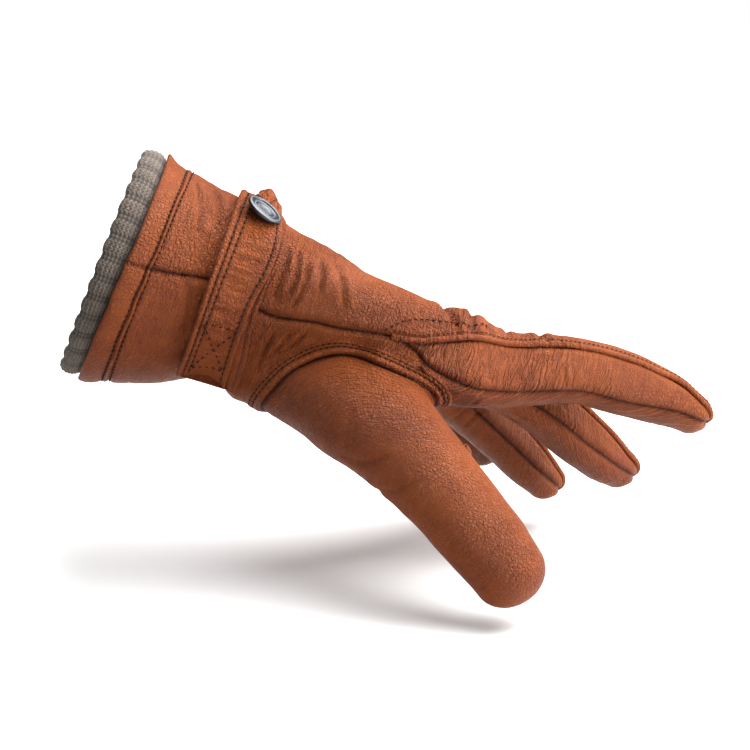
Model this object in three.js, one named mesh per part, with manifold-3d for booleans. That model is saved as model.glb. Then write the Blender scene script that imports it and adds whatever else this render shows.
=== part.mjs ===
// Deerskin glove for a left hand, filled out as a hand fills it.
// Millimetres, +Z up, +X from the cuff to the fingertips, -Y the thumb side.
// The origin is the middle of the knitted mouth, where the hand goes in.
import * as THREE from 'three';
import { mergeVertices } from 'three/addons/utils/BufferGeometryUtils.js';
import Module from 'manifold-3d';

const wasm = await Module();
wasm.setup();

const degrees = Math.PI / 180;

// Driving dimensions
const wall = 1.2; // leather
const seamGap = 0.3; // each piece stops this far short of the seam line
const fit = 0.3; // between pieces that lie on each other
const knitThickness = 2.6;
const knitRibs = 30;
const ribDepth = 0.9;
const hemThickness = 2.6;
const strapThickness = 2.0;
const tabThickness = 1.3;
const snapRadius = 7.9;
const fingerBlend = 5; // how far the rounding between two fingers reaches
const thumbBlend = 7;
const tilt = 14 * degrees; // the whole glove is turned about X, thumb side up

// The arm and hand: middle line, half width, height above and depth below the line, how square
// the section is, where the side seam lies, as degrees from the top on the thumb side, and how far
// the section is rolled
const BODY = [
  { x: -8.0, y: -9.1, z: 3.6, side: 37.5, up: 44.6, down: 44.6, power: 2.0, seam: 90, roll: 0 },
  { x: 0.0, y: -8.0, z: 0.0, side: 37.5, up: 45.4, down: 45.0, power: 2.0, seam: 90, roll: 0 },
  { x: 9.0, y: -6.8, z: -3.4, side: 38.0, up: 46.8, down: 45.6, power: 2.0, seam: 90, roll: 0 },
  { x: 17.3, y: -5.6, z: -5.8, side: 36.6, up: 44.4, down: 42.6, power: 2.0, seam: 90, roll: 0 },
  { x: 30.2, y: -3.9, z: -7.9, side: 35.2, up: 40.4, down: 40.0, power: 2.1, seam: 90, roll: 0 },
  { x: 42.1, y: -2.3, z: -10.0, side: 33.2, up: 36.2, down: 36.0, power: 2.15, seam: 90, roll: 0 },
  { x: 51.8, y: -1.1, z: -12.5, side: 32.2, up: 34.8, down: 34.0, power: 2.2, seam: 97, roll: 0 },
  { x: 64.8, y: 0, z: -16.0, side: 33.6, up: 29.4, down: 30.0, power: 2.3, seam: 109, roll: -1 },
  { x: 80.0, y: 0.4, z: -19.8, side: 37.6, up: 25.0, down: 25.0, power: 2.4, seam: 117, roll: -4 },
  { x: 94.0, y: 0.8, z: -25.0, side: 41.0, up: 19.0, down: 22.0, power: 2.5, seam: 122, roll: -8 },
  { x: 108.0, y: 1.6, z: -30.2, side: 42.5, up: 15.8, down: 19.0, power: 2.5, seam: 120, roll: -12 },
  { x: 120.0, y: 2.5, z: -35.6, side: 40.5, up: 14.4, down: 17.0, power: 2.5, seam: 118, roll: -14 },
];

// The fingers, from inside the hand to near the tip
const FINGERS = {
  index: [
    { x: 108.2, y: -28.0, z: -35.0, side: 10.5, up: 15.5, down: 15.0, power: 2.2 },
    { x: 134.2, y: -27.0, z: -39.5, side: 11.5, up: 19.4, down: 16.5, power: 2.2 },
    { x: 151.2, y: -22.3, z: -42.1, side: 11.2, up: 15.0, down: 14.8, power: 2.2 },
    { x: 168.4, y: -17.6, z: -42.2, side: 11.2, up: 13.4, down: 13.4, power: 2.2 },
    { x: 181.9, y: -14.2, z: -42.8, side: 11.2, up: 12.9, down: 12.6, power: 2.2 },
    { x: 193.6, y: -11.6, z: -45.8, side: 10.9, up: 12.6, down: 12.4, power: 2.2 },
    { x: 205.3, y: -9.0, z: -49.2, side: 10.5, up: 11.2, down: 12.0, power: 2.1 },
    { x: 217.2, y: -6.1, z: -53.8, side: 9.8, up: 9.2, down: 10.4, power: 2.1 },
    { x: 225.4, y: -4.0, z: -58.8, side: 8.6, up: 7.4, down: 8.0, power: 2.0 },
  ],
  middle: [
    { x: 110.0, y: -7.0, z: -34.0, side: 11.0, up: 13.0, down: 13.0, power: 2.2 },
    { x: 139.0, y: -3.1, z: -40.5, side: 11.2, up: 13.0, down: 13.5, power: 2.2 },
    { x: 156.9, y: 5.6, z: -48.2, side: 10.6, up: 12.0, down: 12.0, power: 2.2 },
    { x: 171.0, y: 12.4, z: -57.6, side: 10.8, up: 11.6, down: 11.4, power: 2.2 },
    { x: 181.4, y: 18.5, z: -66.0, side: 10.6, up: 11.4, down: 11.0, power: 2.2 },
    { x: 189.4, y: 23.2, z: -72.5, side: 10.2, up: 11.0, down: 10.6, power: 2.1 },
    { x: 197.0, y: 28.2, z: -78.8, side: 9.4, up: 10.6, down: 9.2, power: 2.1 },
    { x: 201.8, y: 31.4, z: -82.0, side: 8.2, up: 8.8, down: 7.6, power: 2.0 },
  ],
  ring: [
    { x: 104.0, y: 13.0, z: -34.0, side: 10.6, up: 12.0, down: 12.0, power: 2.2 },
    { x: 126.2, y: 17.6, z: -44.3, side: 11.4, up: 12.0, down: 12.0, power: 2.2 },
    { x: 142.5, y: 29.8, z: -57.5, side: 10.2, up: 10.6, down: 10.6, power: 2.2 },
    { x: 152.6, y: 37.1, z: -66.5, side: 10.0, up: 10.0, down: 10.0, power: 2.2 },
    { x: 160.2, y: 42.6, z: -73.8, side: 9.8, up: 9.8, down: 9.6, power: 2.1 },
    { x: 167.0, y: 47.6, z: -80.8, side: 9.4, up: 9.4, down: 9.2, power: 2.1 },
    { x: 174.5, y: 53.6, z: -88.0, side: 8.0, up: 7.8, down: 7.8, power: 2.0 },
  ],
  little: [
    { x: 94.5, y: 30.0, z: -33.0, side: 10.0, up: 12.0, down: 12.0, power: 2.2 },
    { x: 108.5, y: 32.5, z: -40.3, side: 11.2, up: 11.5, down: 11.5, power: 2.2 },
    { x: 118.0, y: 40.1, z: -47.6, side: 9.8, up: 10.0, down: 10.0, power: 2.2 },
    { x: 127.0, y: 47.9, z: -55.4, side: 9.0, up: 9.2, down: 9.2, power: 2.2 },
    { x: 136.3, y: 54.8, z: -62.9, side: 8.8, up: 9.0, down: 9.0, power: 2.1 },
    { x: 143.0, y: 60.0, z: -69.2, side: 8.4, up: 8.6, down: 8.6, power: 2.1 },
    { x: 150.0, y: 65.2, z: -75.4, side: 7.2, up: 7.2, down: 7.2, power: 2.0 },
  ],
};

// The roots of the fingers, from the index to the little finger: it fills the webs between them
const KNUCKLES = [
  { x: 137.0, y: -24.0, z: -39.5, side: 13.0, up: 12.0, down: 13.0, power: 2.2 },
  { x: 135.0, y: -8.0, z: -40.0, side: 14.0, up: 12.0, down: 13.0, power: 2.2 },
  { x: 128.5, y: 11.0, z: -42.5, side: 13.0, up: 11.0, down: 12.0, power: 2.2 },
  { x: 118.0, y: 30.0, z: -44.0, side: 12.0, up: 10.0, down: 11.0, power: 2.2 },
];

const THUMB = [
  { x: 58.0, y: -11.5, z: -38.0, side: 17.0, up: 14.0, down: 14.6, power: 2.0 },
  { x: 70.0, y: -14.5, z: -42.0, side: 17.6, up: 15.5, down: 17.0, power: 2.0 },
  { x: 83.5, y: -20.0, z: -48.0, side: 19.0, up: 17.0, down: 19.0, power: 2.1 },
  { x: 96.5, y: -29.0, z: -55.0, side: 20.6, up: 17.5, down: 19.0, power: 2.1 },
  { x: 107.6, y: -38.0, z: -63.5, side: 19.2, up: 16.5, down: 17.6, power: 2.1 },
  { x: 117.8, y: -46.0, z: -73.6, side: 17.2, up: 14.8, down: 15.6, power: 2.1 },
  { x: 130.2, y: -53.0, z: -87.2, side: 15.8, up: 13.5, down: 13.8, power: 2.1 },
  { x: 143.0, y: -58.0, z: -102.4, side: 14.8, up: 12.8, down: 13.4, power: 2.1 },
  { x: 152.0, y: -60.0, z: -114.6, side: 13.4, up: 12.0, down: 13.0, power: 2.0 },
];

const places = ['x', 'y', 'z'];
const columnsOf = (row) => Object.keys(row).filter((name) => !places.includes(name));
const up = new THREE.Vector3(0, 0, 1);
const thumbTop = new THREE.Vector3(-0.2, -1, 0.35);

// Spreads a table of sections evenly along its line, with a frame at each station:
// ahead along the line, across to the little-finger side, and above to the back of the hand.
function makeTube(rows, spacing, above, roll = 0) {
  const line = new THREE.CatmullRomCurve3(rows.map((row) => new THREE.Vector3(row.x, row.y, row.z)));
  const count = Math.round(line.getLength() / spacing);
  const rowLengths = [0];
  rows.slice(1).forEach((row, i) => {
    rowLengths.push(rowLengths[i] + Math.hypot(row.x - rows[i].x, row.y - rows[i].y, row.z - rows[i].z));
  });
  const total = rowLengths[rows.length - 1];
  const stations = [];
  for (let i = 0; i <= count; i++) {
    const share = i / count;
    const point = line.getPointAt(share);
    const ahead = line.getTangentAt(share);
        let k = 0;
    while (k < rows.length - 2 && rowLengths[k + 1] < share * total) k += 1;
    const part = (share * total - rowLengths[k]) / (rowLengths[k + 1] - rowLengths[k]);
    const mix = (name) => smoothRow(rows, k, part, name);
    const station = { point, ahead };
    for (const name of columnsOf(rows[0])) station[name] = mix(name);
    const turn = roll + (station.roll ?? 0) * degrees;
    station.across = new THREE.Vector3().crossVectors(above, ahead).normalize().applyAxisAngle(ahead, turn);
    station.top = new THREE.Vector3().crossVectors(ahead, station.across).normalize();
    stations.push(station);
  }
  return { stations, columns: columnsOf(rows[0]), length: line.getLength(), cap: stations[count].side * 0.85 };
}

function smoothRow(rows, k, part, name) {
  const a = rows[Math.max(k - 1, 0)][name];
  const b = rows[k][name];
  const c = rows[k + 1][name];
  const d = rows[Math.min(k + 2, rows.length - 1)][name];
  const slope = (c - a) / 2;
  const next = (d - b) / 2;
  const t = Math.min(Math.max(part, 0), 1);
  return b + slope * t + (3 * (c - b) - 2 * slope - next) * t * t + (slope + next - 2 * (c - b)) * t * t * t;
}

const lerp = (a, b, t) => a + (b - a) * t;

function stationAt(tube, share) {
  const place = Math.min(Math.max(share, 0), 1) * (tube.stations.length - 1);
  const i = Math.min(Math.floor(place), tube.stations.length - 2);
  const t = place - i;
  const a = tube.stations[i];
  const b = tube.stations[i + 1];
  return {
    point: a.point.clone().lerp(b.point, t),
    ahead: a.ahead.clone().lerp(b.ahead, t).normalize(),
    across: a.across.clone().lerp(b.across, t).normalize(),
    top: a.top.clone().lerp(b.top, t).normalize(),
    ...Object.fromEntries(tube.columns.map((name) => [name, lerp(a[name], b[name], t)])),
  };
}

// How far a point is outside a tube, roughly in millimetres; inside it is negative.
function tubeDistance(tube, point) {
  let best = Infinity;
  let share = 0;
  const offset = new THREE.Vector3();
  const chord = new THREE.Vector3();
  for (let i = 0; i < tube.stations.length - 1; i++) {
    chord.subVectors(tube.stations[i + 1].point, tube.stations[i].point);
    offset.subVectors(point, tube.stations[i].point);
    const t = Math.min(Math.max(offset.dot(chord) / chord.lengthSq(), 0), 1);
    const gap = offset.addScaledVector(chord, -t).lengthSq();
    if (gap < best) {
      best = gap;
      share = (i + t) / (tube.stations.length - 1);
    }
  }
  const station = stationAt(tube, share);
  offset.subVectors(point, station.point);
  const along = offset.dot(station.ahead);
  const x = Math.abs(offset.dot(station.across)) / station.side;
  const y = offset.dot(station.top);
  const z = y > 0 ? y / station.up : -y / station.down;
  const section = Math.pow(Math.pow(x, station.power) + Math.pow(z, station.power), 1 / station.power);
  const reach = Math.hypot(section, along / tube.cap);
  if (reach < 1e-6) return -Math.min(station.side, station.up, station.down);
  return offset.length() * (1 - 1 / reach);
}

function blend(a, b, softness) {
  const h = Math.max(softness - Math.abs(a - b), 0) / softness;
  return Math.min(a, b) - h * h * softness * 0.25;
}

// The share of the arm's line at a distance x along the glove.
function shareAt(x) {
  const stations = body.stations;
  let i = 0;
  while (i < stations.length - 2 && stations[i + 1].point.x < x) i += 1;
  const part = (x - stations[i].point.x) / (stations[i + 1].point.x - stations[i].point.x);
  return (i + part) / (stations.length - 1);
}

const body = makeTube(BODY, 5, up);
const fingerNames = ['index', 'middle', 'ring', 'little'];
const fingers = fingerNames.map((name) => makeTube(FINGERS[name], 4.5, up, -8 * degrees));
const thumb = makeTube(THUMB, 5, thumbTop);
const knuckles = makeTube(KNUCKLES, 5, up);
knuckles.cap = 8;
body.cap = 12;

// The outside of the leather without the thumb, and with it.
function handField(point) {
  let value = blend(tubeDistance(body, point), tubeDistance(knuckles, point), thumbBlend);
  for (const finger of fingers) value = blend(value, tubeDistance(finger, point), fingerBlend);
  return value;
}

function gloveField(point) {
  return blend(handField(point), tubeDistance(thumb, point), thumbBlend);
}

function slopeOf(field, point) {
  const step = 0.2;
  const slope = new THREE.Vector3();
  for (const axis of ['x', 'y', 'z']) {
    const ahead = point.clone();
    const behind = point.clone();
    ahead[axis] += step;
    behind[axis] -= step;
    slope[axis] = field(ahead) - field(behind);
  }
  return slope.normalize();
}

// A ray is a seed inside the glove and a direction; its landing is where it leaves the leather.
function landing(field, ray, reach = 90) {
  const probe = new THREE.Vector3();
  const valueAt = (t) => field(probe.copy(ray.seed).addScaledVector(ray.direction, t));
  let near = 0;
  let nearValue = valueAt(0);
  let far = 0;
  let farValue = nearValue;
  while (farValue < 0 && far < reach) {
    near = far;
    nearValue = farValue;
    far += Math.min(Math.max(-farValue * 0.5, 0.5), 3);
    farValue = valueAt(far);
  }
  for (let i = 0; i < 14 && far - near > 1e-3; i++) {
    const share = Math.min(Math.max(nearValue / (nearValue - farValue), 0.1), 0.9);
    const middle = lerp(near, far, share);
    const value = valueAt(middle);
    if (value < 0) {
      near = middle;
      nearValue = value;
    } else {
      far = middle;
      farValue = value;
    }
  }
  return probe.copy(ray.seed).addScaledVector(ray.direction, (near + far) / 2).clone();
}

const mixRays = (a, b, t) => ({
  seed: a.seed.clone().lerp(b.seed, t),
  direction: a.direction.clone().lerp(b.direction, t).normalize(),
});

function fanRay(station, angle, shift = 0) {
  return {
    seed: station.point.clone().addScaledVector(station.across, shift),
    direction: station.across.clone().multiplyScalar(Math.sin(angle)).addScaledVector(station.top, Math.cos(angle)),
  };
}

const smooth = (from, to, value) => {
  const t = Math.min(Math.max((value - from) / (to - from), 0), 1);
  return t * t * (3 - 2 * t);
};

// Where the panels run: rows along the hand, then rows along each finger, then rows over its tip
const panelStart = 18.5; // where the leather panels meet the hem
const handLast = { middle: 0.935, slant: 0.085 }; // last hand row, nearer the cuff at the little finger
const handRows = 13;
const fingerStart = [0.125, 0.08, 0.1, 0.15]; // share of a finger's line at its first own row
const fingerRows = [13, 11, 10, 8];
const tipTurns = [32, 58, 80]; // degrees that the rows over a tip lean forward
const mixRows = 3;
const edges = [-1, -0.46, 0.03, 0.53, 1];
const middles = [-0.74, -0.22, 0.28, 0.78];
// The rows where the panels of two neighbours begin to part, and where they have parted: first the
// index finger's side strip, then each crotch
const PARTING = [
  { from: handRows - 1, to: handRows + 5 },
  { from: handRows + 4, to: handRows + 5.5 },
  { from: handRows + 3, to: handRows + 4.5 },
  { from: handRows + 3, to: handRows + 4.5 },
];
const cellsAcross = 4;

const rowCount = (finger) => handRows + fingerRows[finger] + tipTurns.length;

// The cuff's lines are slanted: at the back of the hand they lie further along the arm than below.
const SLANT = [
  { x: 1.5, slant: -0.8 },
  { x: 9.5, slant: 2.7 },
  { x: 18.0, slant: 4.4 },
];

function slanted(x, angle) {
  let k = 0;
  while (k < SLANT.length - 2 && SLANT[k + 1].x < x) k += 1;
  const part = (x - SLANT[k].x) / (SLANT[k + 1].x - SLANT[k].x);
  return x + lerp(SLANT[k].slant, SLANT[k + 1].slant, Math.min(Math.max(part, 0), 1)) * Math.cos(angle);
}

// A ray from the hand's middle sheet: place runs from -1 on the thumb side to 1.
function handRay(row, place, side) {
  const last = handLast.middle - handLast.slant * place;
  const done = Math.min(row / handRows, 1);
  const even = lerp(shareAt(panelStart), last, done);
  const edge = place < 0 ? stationAt(body, even).seam * degrees : 90 * degrees;
  const bend = Math.pow(Math.abs(place), lerp(1, 1.6, smooth(0.3, 0.75, even)));
  const turn = side === 'back' ? bend * edge : Math.PI - bend * (Math.PI - edge);
  const share = even + (shareAt(slanted(panelStart, turn)) - shareAt(panelStart)) * (1 - done) ** 3;
  const station = stationAt(body, share);
  const spread = 0.62 * smooth(0.3, 0.75, share);
  return fanRay(station, Math.sign(place || 1) * turn, place * station.side * spread);
}

// A ray from a finger's line, leaning forward over the tip.
function fingerRay(finger, row, angle) {
  const own = row - handRows;
  const start = fingerStart[finger];
  const rows = fingerRows[finger];
  const share = own < 0 ? start * Math.max(0, 1 + own / mixRows) : lerp(start, 1, Math.min(own / rows, 1));
  const station = stationAt(fingers[finger], share);
  const ray = fanRay(station, angle);
  const over = own - rows;
  if (over > 0) {
    const lean = tipLean(over) * degrees;
    ray.direction.multiplyScalar(Math.cos(lean)).addScaledVector(station.ahead, Math.sin(lean));
  }
  return ray;
}

function tipLean(over) {
  const i = Math.min(Math.floor(over), tipTurns.length - 1);
  const before = i === 0 ? 0 : tipTurns[i - 1];
  return lerp(before, tipTurns[i], over - i > 1 ? 1 : over - i);
}

const handShare = (row) => smooth(handRows - mixRows, handRows + 2, row);

// A finger's seams, in degrees from its top; they draw together at the tip.
function seamAngle(finger, row, side) {
  const close = smooth(handRows + fingerRows[finger] * 0.7, rowCount(finger), row);
  return (side === 'back' ? lerp(52, 80, close) : lerp(118, 100, close)) * degrees;
}

// The line between two neighbouring fingers' panels, before they part.
function borderRay(border, row, side) {
  const left = fingerRay(border - 1, row, seamAngle(border - 1, row, side));
  const right = fingerRay(border, row, -seamAngle(border, row, side));
  return mixRays(handRay(row, edges[border], side), mixRays(left, right, 0.5), handShare(row));
}

// The edge of a finger's panel: hand is -1 for its thumb side and 1 for the other.
function edgeRay(finger, hand, row, side) {
  if (finger === 3 && hand === 1) {
    return mixRays(handRay(row, 1, side), fingerRay(3, row, 90 * degrees), handShare(row));
  }
  const own = fingerRay(finger, row, hand * seamAngle(finger, row, side));
  if (finger === 0 && hand === -1) {
    const shared = mixRays(handRay(row, -1, side), fingerRay(0, row, -95 * degrees), handShare(row));
    return mixRays(shared, own, smooth(PARTING[0].from, PARTING[0].to, row));
  }
  const border = hand === 1 ? finger + 1 : finger;
  return mixRays(borderRay(border, row, side), own, smooth(PARTING[border].from, PARTING[border].to, row));
}

function centreRay(finger, row, side) {
  const own = fingerRay(finger, row, side === 'back' ? 0 : Math.PI);
  return mixRays(handRay(row, middles[finger], side), own, handShare(row));
}

// A ray between three others, as a smooth curve through their directions.
function curveRay(first, middle, last, share, pull) {
  const weights = [(1 - share) ** 2, 2 * share * (1 - share) * pull, share ** 2];
  const total = weights[0] + weights[1] + weights[2];
  const ray = { seed: new THREE.Vector3(), direction: new THREE.Vector3() };
  [first, middle, last].forEach((part, i) => {
    ray.seed.addScaledVector(part.seed, weights[i] / total);
    ray.direction.addScaledVector(part.direction, weights[i] / total);
  });
  ray.direction.normalize();
  return ray;
}

// A skin collects points by name and the faces between them, then becomes a wall.
class Skin {
  constructor(field) {
    this.field = field;
    this.points = [];
    this.names = new Map();
    this.cuts = new Map();
    this.faces = [];
  }

  add(name, make) {
    if (!this.names.has(name)) {
      this.names.set(name, this.points.length);
      this.points.push(make());
    }
    return this.names.get(name);
  }

  face(...corners) {
    this.faces.push(corners);
  }

  // The way from the inside to the outside at a point: along the slope of the field, or along a cut.
  depth(i, thickness) {
    const slope = slopeOf(this.field, this.points[i]);
    const cut = this.cuts.get(i);
    if (!cut) return slope.multiplyScalar(thickness);
    return cut.clone().multiplyScalar(thickness / Math.max(cut.dot(slope), 0.6));
  }

  wall(thickness) {
    const used = [...new Set(this.faces.flat())];
    const index = new Map(used.map((old, i) => [old, i]));
    const outer = used.map((i) => this.points[i]);
    const inner = used.map((i) => this.points[i].clone().sub(this.depth(i, thickness)));
    const count = outer.length;
    const triangles = [];
    const open = new Map();
    for (const corners of this.faces) {
      const ring = corners.map((i) => index.get(i));
      for (let k = 1; k < ring.length - 1; k++) {
        triangles.push([ring[0], ring[k], ring[k + 1]]);
        triangles.push([ring[0] + count, ring[k + 1] + count, ring[k] + count]);
      }
      ring.forEach((a, k) => {
        const b = ring[(k + 1) % ring.length];
        if (open.has(`${b},${a}`)) open.delete(`${b},${a}`);
        else open.set(`${a},${b}`, [a, b]);
      });
    }
    for (const [a, b] of open.values()) {
      triangles.push([b, a, a + count]);
      triangles.push([b, a + count, b + count]);
    }
    return closedGeometry([...outer, ...inner], triangles);
  }
}

function volumeOf(points, triangles) {
  let volume = 0;
  const normal = new THREE.Vector3();
  for (const [a, b, c] of triangles) {
    volume += normal.crossVectors(points[b], points[c]).dot(points[a]) / 6;
  }
  return volume;
}

function closedGeometry(points, triangles) {
  const outward = volumeOf(points, triangles) > 0;
  const geometry = new THREE.BufferGeometry();
  const positions = new Float32Array(points.flatMap((point) => [point.x, point.y, point.z]));
  geometry.setAttribute('position', new THREE.BufferAttribute(positions, 3));
  geometry.setIndex(triangles.flatMap(([a, b, c]) => (outward ? [a, b, c] : [a, c, b])));
  return geometry;
}

// Moves an edge point towards its neighbour, so that two pieces stop short of their seam.
const shorten = (point, neighbour, gap) =>
  point.clone().addScaledVector(neighbour.clone().sub(point).normalize(), gap);

function panelPoint(field, finger, row, step, side) {
  const rays = [edgeRay(finger, -1, row, side), centreRay(finger, row, side), edgeRay(finger, 1, row, side)];
  const point = landing(field, curveRay(...rays, step / cellsAcross, 1.6));
  return side === 'palm' && row < rowCount(0) - 10 ? drawnToSeam(field, point) : point;
}

// The back or the palm: four columns side by side over the hand, then one tongue for each finger.
function panelSkin(side, field, skip = () => false) {
  const skin = new Skin(field);
  const at = (finger, row, step) => {
    const onLeft = step === 0;
    const onRight = step === cellsAcross;
    const outside = (onLeft && finger === 0) || (onRight && finger === 3);
    const border = onLeft ? finger : finger + 1;
    const shared = (onLeft || onRight) && !outside && row <= PARTING[border].from;
    const name = shared ? `border ${border} ${row}` : `${finger} ${row} ${step}`;
    return skin.add(name, () => {
      const point = panelPoint(field, finger, row, step, side);
      if (shared && row === PARTING[border].from) return shorten(point, panelPoint(field, finger, row - 1, step, side), seamGap);
      if (shared || !(onLeft || onRight)) return point;
      const inward = panelPoint(field, finger, row, step + (onLeft ? 1 : -1), side);
      return shorten(point, inward, seamGap);
    });
  };
  fingerNames.forEach((name, finger) => {
    for (let row = 0; row < rowCount(finger); row++) {
      for (let step = 0; step < cellsAcross; step++) {
        const corners = [
          at(finger, row, step),
          at(finger, row + 1, step),
          at(finger, row + 1, step + 1),
          at(finger, row, step + 1),
        ];
        if (!corners.every((i) => skip(skin.points[i]))) skin.face(...corners);
      }
    }
  });
  return skin;
}

// A strip between the back's edge and the palm's edge. Each row has the rays of its edges and middle,
// and the field that its inner rays stop at.
function stripSkin(field, rows, cells = 4) {
  const skin = new Skin(field);
  const grid = rows.map(({ rays, stop }, i) => {
    const points = [];
    for (let step = 0; step <= cells; step++) {
      const edge = step === 0 || step === cells;
      points.push(landing(edge ? field : stop, curveRay(...rays, step / cells, 1.3), 60));
    }
    const first = shorten(points[0], points[1], seamGap);
    const last = shorten(points[cells], points[cells - 1], seamGap);
    points[0] = first;
    points[cells] = last;
    return points.map((point, step) => skin.add(`${i} ${step}`, () => point));
  });
  for (let i = 0; i < rows.length - 1; i++) {
    for (let step = 0; step < cells; step++) {
      skin.face(grid[i][step], grid[i + 1][step], grid[i + 1][step + 1], grid[i][step + 1]);
    }
  }
  return skin;
}

function indexSideSkin(field) {
  const rows = [];
  for (let row = PARTING[0].from + 1; row < rowCount(0); row++) {
    const middle = mixRays(handRay(row, -1, 'back'), fingerRay(0, row, -90 * degrees), handShare(row));
    rows.push({ rays: [edgeRay(0, -1, row, 'back'), middle, edgeRay(0, -1, row, 'palm')], stop: field });
  }
  return stripSkin(field, rows, 3);
}

// The gusset between two fingers: down the side of one, round the crotch, up the side of the next.
function fourchetteSkin(finger, field) {
  const next = finger + 1;
  const split = PARTING[next].from;
  const crotch = mixRays(fingerRay(finger, split - 1, 0), fingerRay(next, split - 1, 0), 0.5);
  const ahead = new THREE.Vector3();
  ahead.add(stationAt(fingers[finger], 0.3).ahead).add(stationAt(fingers[next], 0.3).ahead).normalize();
  const web = { seed: crotch.seed, direction: ahead };
  // A ray from one finger stops at the middle of the gap to the other.
  const apart = (point) => tubeDistance(fingers[finger], point) - tubeDistance(fingers[next], point);
  const sides = [
    (point) => Math.max(field(point), apart(point)),
    (point) => Math.max(field(point), -apart(point)),
  ];
  const rowOf = (one, hand, row) => ({
    rays: [
      edgeRay(one, hand, row, 'back'),
      fingerRay(one, row, hand * 85 * degrees),
      edgeRay(one, hand, row, 'palm'),
    ],
    stop: sides[one - finger],
  });
  const rows = [];
  for (let row = rowCount(finger) - 1; row > split; row--) rows.push(rowOf(finger, 1, row));
  rows.push({ rays: [borderRay(next, split + 0.15, 'back'), web, borderRay(next, split + 0.15, 'palm')], stop: field });
  for (let row = split + 1; row < rowCount(next); row++) rows.push(rowOf(next, -1, row));
  return stripSkin(field, rows);
}

// The thumb's seam is a closed line on the leather, seen from a seed inside the hand; each row is a
// point that the seam passes, from the crotch over the thumb side to the wrist and back by the palm.
const OVAL = [
  { x: 127, y: -37, z: -51 },
  { x: 112, y: -39, z: -39.5 },
  { x: 90, y: -40, z: -32.5 },
  { x: 67, y: -36, z: -38.5 },
  { x: 59, y: -28, z: -50 },
  { x: 72, y: -9, z: -51 },
  { x: 96, y: -2, z: -54 },
  { x: 116, y: -15, z: -57 },
];
const oval = {
  seed: new THREE.Vector3(96, -12, -28),
  out: new THREE.Vector3(0, -0.55, -0.83).normalize(),
  line: new THREE.CatmullRomCurve3(OVAL.map((row) => new THREE.Vector3(row.x, row.y, row.z)), true),
};
const thumbSides = 24;
const thumbRings = 11;
const thumbStart = 0.32;
const holeMargin = 0.85; // how near the seam the palm's leather is drawn before it is trimmed
const tipRings = 3;

// A ray to the seam, drawn in or out from it by a scale of its slant.
function ovalRay(share, scale) {
  const direction = oval.line.getPoint(share).sub(oval.seed).normalize();
  const along = direction.dot(oval.out);
  direction.addScaledVector(oval.out, -along).multiplyScalar(scale).addScaledVector(oval.out, along).normalize();
  return { seed: oval.seed, direction };
}

const ovalAcross = new THREE.Vector3(1, 0, 0).cross(oval.out).normalize();

function slantOf(direction) {
  const x = direction.x;
  const y = direction.dot(ovalAcross);
  return { round: Math.atan2(y, x), slant: Math.atan2(Math.hypot(x, y), direction.dot(oval.out)) };
}

const ovalSlants = [...Array(96).keys()].map((i) => slantOf(ovalRay(i / 96, 1).direction));

// Where a point is as seen from the oval's seed: its reach is 1 on the seam and more outside it.
function ovalPlace(point) {
  const here = slantOf(point.clone().sub(oval.seed).normalize());
  const apart = (a, b) => Math.abs(Math.atan2(Math.sin(a - b), Math.cos(a - b)));
  const nearest = ovalSlants.reduce((best, row) =>
    apart(row.round, here.round) < apart(best.round, here.round) ? row : best);
  return { ...here, seam: nearest.slant, reach: here.slant / nearest.slant };
}

// Draws a point that lies inside the oval out to just inside the seam.
function drawnToSeam(field, point) {
  const place = ovalPlace(point);
  if (place.reach > holeMargin) return point;
  const slant = place.seam * holeMargin;
  const direction = new THREE.Vector3(1, 0, 0).multiplyScalar(Math.cos(place.round) * Math.sin(slant));
  direction.addScaledVector(ovalAcross, Math.sin(place.round) * Math.sin(slant));
  direction.addScaledVector(oval.out, Math.cos(slant));
  return landing(field, { seed: oval.seed, direction });
}

function thumbSkin(field) {
  const skin = new Skin(field);
  const rings = thumbRings + tipRings;
  for (let ring = 0; ring <= rings; ring++) {
    for (let i = 0; i < thumbSides; i++) {
      const share = i / thumbSides;
      const station = stationAt(thumb, lerp(thumbStart, 1, Math.min(ring / thumbRings, 1)));
      const lean = Math.max(ring - thumbRings, 0) * 26 * degrees;
      const round = fanRay(station, Math.PI / 2 - share * 2 * Math.PI);
      round.direction.multiplyScalar(Math.cos(lean)).addScaledVector(station.ahead, Math.sin(lean));
      const first = ovalRay(share, 0.985);
      const ray = mixRays(first, round, smooth(0, 8, ring));
      ray.seed = first.seed.clone().lerp(round.seed, smooth(0, 4, ring));
      const index = skin.add(`${ring} ${i}`, () => landing(field, ray));
      if (ring === 0) skin.cuts.set(index, first.direction);
    }
  }
  const at = (ring, i) => skin.names.get(`${ring} ${i % thumbSides}`);
  for (let ring = 0; ring < rings; ring++) {
    for (let i = 0; i < thumbSides; i++) {
      skin.face(at(ring, i), at(ring + 1, i), at(ring + 1, i + 1), at(ring, i + 1));
    }
  }
  const end = stationAt(thumb, 1);
  const tip = skin.add('tip', () => landing(field, { seed: end.point, direction: end.ahead }));
  for (let i = 0; i < thumbSides; i++) skin.face(at(rings, i), tip, at(rings, i + 1));
  return skin;
}

function solidOf(geometry) {
  const bare = geometry.clone();
  bare.deleteAttribute('normal');
  bare.deleteAttribute('uv');
  const merged = mergeVertices(bare, 1e-4);
  return new wasm.Manifold(new wasm.Mesh({
    numProp: 3,
    vertProperties: new Float32Array(merged.attributes.position.array),
    triVerts: new Uint32Array(merged.index.array),
  }));
}

function geometryOf(solid) {
  const mesh = solid.getMesh();
  const geometry = new THREE.BufferGeometry();
  geometry.setAttribute('position', new THREE.BufferAttribute(new Float32Array(mesh.vertProperties), 3));
  geometry.setIndex(Array.from(mesh.triVerts));
  return geometry;
}

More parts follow.
